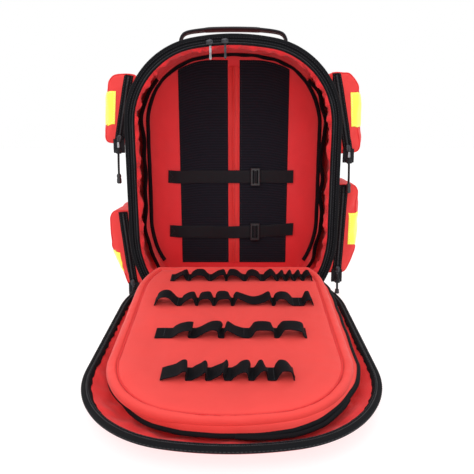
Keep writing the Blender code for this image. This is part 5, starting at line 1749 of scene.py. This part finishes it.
def build_shoulder_straps():
    """The padded shoulder straps, their lower webbing and what runs through the adjusters."""
    for label, side in (("left", -1), ("right", 1)):
        line = curve_through([(side * 0.050, PAD_BACK + 0.0085, 0.372),
                              (side * 0.054, PAD_BACK + 0.0400, 0.368),
                              (side * 0.064, PAD_BACK + 0.0560, 0.320),
                              (side * 0.076, PAD_BACK + 0.0540, 0.250),
                              (side * 0.090, PAD_BACK + 0.0400, 0.185)], 0.0040)
        size = len(line)
        t = np.linspace(0, 1, size)
        width = 0.048 + 0.014 * np.sin(math.pi * t)
        width *= np.interp(t, [0, 0.03, 0.94, 0.98, 1.0], [0.90, 1.0, 1.0, 0.86, 0.62])
        along = headings(line)
        across = unit(np.array([1.0, 0, 0]) - (along @ np.array([1.0, 0, 0]))[:, None] * along)
        out = np.cross(along, across)
        if out[size // 2][1] < 0:
            out = -out
        puffed = ripples(320 + side, 0.04)
        turn = np.linspace(-1, 1, 21)
        thick = 0.0056 * np.sqrt(np.clip(1 - np.abs(turn) ** 3.2, 0, 1)) + 0.0002
        groove = 0.0016 * np.exp(-((np.abs(turn) - 0.86) / 0.06) ** 2)
        rows = []
        for k in range(size):
            quilt = 0.0011 * math.exp(-((((t[k] * 7) % 1) - 0.5) / 0.07) ** 2) * (0.06 < t[k] < 0.92)
            lump = 0.0004 * puffed(turn * 0.02, t[k] * 0.3)
            end = np.interp(min(t[k], 1 - t[k]), [0, 0.015], [0.5, 1.0])
            face = (thick - groove - quilt * (np.abs(turn) < 0.84) + lump) * end
            flat = line[k] + across[k] * (turn * width[k] / 2)[:, None]
            under = flat - out[k] * ((thick - groove * 0.6) * end)[:, None]
            rows.append(np.vstack([flat + out[k] * face[:, None], under[::-1]]))
        shape = closed_skin(rows)
        pad = add(f"shoulder_padding_{label}", shape, "mesh", "bag", "black_mesh", f"shoulder_strap_{label}")
        for number, sign in enumerate((-1, 1)):
            edge = line + across * (sign * width / 2)[:, None]
            add(f"shoulder_binding_{number + 1}_{label}", tube(edge[1:-1], 0.0021, 8), "binding", "bag",
                "black_webbing")
        first = int(size * 0.10)
        web_across, web_out = across[first:], out[first:]
        web = line[first:] + web_out * 0.0063
        add(f"shoulder_webbing_{label}", strap(web, WIDE_WEBBING, 0.0014, web_across), "webbing", "bag",
            "black_webbing")
        edges = Shape()
        for sign in (-1, 1):
            edges.join(stitches(web + web_across * sign * 0.0106 + web_out * 0.0008, web_out))
        for k in range(3, len(web) - 3, 9):
            ends = [web[k] + web_across[k] * a + web_out[k] * 0.0009 for a in (-0.0106, 0.0106)]
            edges.join(stitches(ends, web_out[k], 0.0022, 0.0010))
        sew(f"shoulder_stitching_{label}", edges, "black_thread", "bag", "black_webbing")
        # sewn root on the back pad
        root = curve_through([(side * 0.050, PAD_BACK + 0.0004, 0.352),
                              (side * 0.050, PAD_BACK + 0.0026, 0.366),
                              (side * 0.050, PAD_BACK + 0.0050, 0.3755),
                              (side * 0.0503, PAD_BACK + 0.0105, 0.3795),
                              (side * 0.0508, PAD_BACK + 0.0180, 0.3800)], 0.003)
        add(f"shoulder_root_{label}", strap(root, 0.046, 0.0030, (1, 0, 0)), "black_cloth", "bag",
            "black_webbing")
        # lower webbing from inside the padding to the bag's foot, and its tail through the adjuster
        start = np.array([side * 0.091, PAD_BACK + 0.0365, 0.1774])
        end = np.array([side * 0.104, PAD_BACK + 0.0012, 0.086])
        straight = unit(end - start)
        nearer = np.cross([1.0, 0, 0], straight)
        nearer = nearer if nearer[1] > 0 else -nearer
        web = curve_through([line[-4], line[-1], start + straight * 0.004, start + straight * 0.03,
                             start + straight * 0.06, end,
                             end + np.array([side * 0.0005, 0.0002, -0.016])], 0.003)
        add(f"lower_webbing_{label}", strap(web, WIDE_WEBBING, 0.0016, (1, 0, 0)), "webbing", "bag",
            "black_webbing", f"strap_webbing_{label}")
        lo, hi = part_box(f"strap_adjuster_{label}")
        hub = np.array([(lo.x + hi.x) / 2, (lo.y + hi.y) / 2, (lo.z + hi.z) / 2])
        weave = curve_through([hub - straight * 0.0075 - nearer * 0.0030,
                               hub - straight * 0.0055 - nearer * 0.0010,
                               hub - straight * 0.0030 + nearer * 0.0040, hub + nearer * 0.0046,
                               hub + straight * 0.0030 + nearer * 0.0040,
                               hub + straight * 0.0055 + nearer * 0.0010,
                               hub + straight * 0.0075 - nearer * 0.0024], 0.001)
        add(f"adjuster_webbing_{label}", strap(weave, NARROW_WEBBING, 0.0013, (1, 0, 0)), "webbing",
            f"adjuster_{label}", "black_webbing")
        tail = curve_through([hub + straight * 0.004 + nearer * 0.0050,
                              hub + straight * 0.014 + nearer * 0.0075,
                              hub + straight * 0.034 + nearer * 0.0085 + [side * 0.002, 0, 0],
                              hub + straight * 0.052 + nearer * 0.0065 + [side * 0.004, 0, 0]], 0.002)
        add(f"adjuster_tail_{label}", strap(tail, NARROW_WEBBING, 0.0014, (1, 0, 0)), "webbing",
            f"adjuster_{label}", "black_webbing")


def build_front_pocket():
    """The lid's outer pocket: it lies on the floor while the lid is down."""
    half_width, low, high, middle = 0.1035, 0.040, 0.238, 0.139
    outline = rounded([(-half_width, low), (half_width, low), (half_width, high), (-half_width, high)], 0.020,
                      7)

    def floor_depth(up):
        slope = OPEN_ANGLE - math.pi / 2
        return (HINGE_Z - 0.0010 - up * math.sin(slope)) / math.cos(slope)
    rows = []
    for share, shrink in ((0.0, 0.002), (0.3, 0.0), (0.75, 0.001), (0.96, 0.006)):
        ring = []
        for x, up in outline:
            x, up = x * (1 - shrink / half_width), middle + (up - middle) * (1 - shrink / 0.1)
            deep = 0.0272 + (floor_depth(up) - 0.0005 - 0.0272) * share
            ring.append((x, -deep, up))
        rows.append(ring)
    shape = closed_skin(rows).mapped(lid_to_world)

    def limit(points):
        made = points.copy()
        made[:, 2] = np.maximum(made[:, 2], 0.0006)
        c, s = math.cos(OPEN_ANGLE), math.sin(OPEN_ANGLE)
        y, z = made[:, 1] - HINGE_Y, made[:, 2] - HINGE_Z
        depth, up = y * c + z * s, -y * s + z * c
        depth = np.minimum(depth, -0.0269)
        made[:, 1], made[:, 2] = HINGE_Y + depth * c - up * s, HINGE_Z + depth * s + up * c
        return made
    pocket = puff("lid_pocket", shape, "red", 0.003, 0.0048, 3.0, None, limit, 0.0006, 0.045, 351)
    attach(pocket, "lid")
    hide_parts("front_pocket")
    tree = surface_of(pocket)
    ring = resample(np.vstack([outline, outline[:1]]), 0.003)[:-1]
    guess = lid_to_world(np.stack([ring[:, 0], -np.array([floor_depth(u) for u in ring[:, 1]]) + 0.004,
                                   ring[:, 1]], 1))
    line, _ = laid_on(tree, guess, 0.0002)
    line[:, 2] = np.maximum(line[:, 2], 0.0018)
    add("lid_pocket_piping", tube(line, 0.0012, 8, closed=True), "red_cord", "lid", "red_nylon")
    ring = [p for p in resample(np.array(outline), 0.002) if p[1] > 0.150]
    ring = sorted(ring, key=lambda p: math.atan2(p[1] - middle, p[0]))
    guess = lid_to_world(np.array([(x, -0.0330, up) for x, up in ring]))
    line, _ = laid_on(tree, guess, 0.0006)
    add("lid_pocket_zip", strap(curve_through(line[::4], 0.003), 0.0085, 0.0014,
                                lid_direction(np.array([0, 1.0, 0]))), "zip_tape", "lid", "black_zip")


build_back_pads()
build_shoulder_straps()
build_front_pocket()


# ================================================================ CAD pieces that stay
for name in ("strap_buckle_upper", "strap_buckle_lower", "strap_adjuster_left", "strap_adjuster_right",
             "base_panel", "frame_sheet"):
    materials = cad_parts[name].data.materials
    materials.clear()
    materials.append(MAT["frame_plastic" if name == "frame_sheet" else "plastic"])
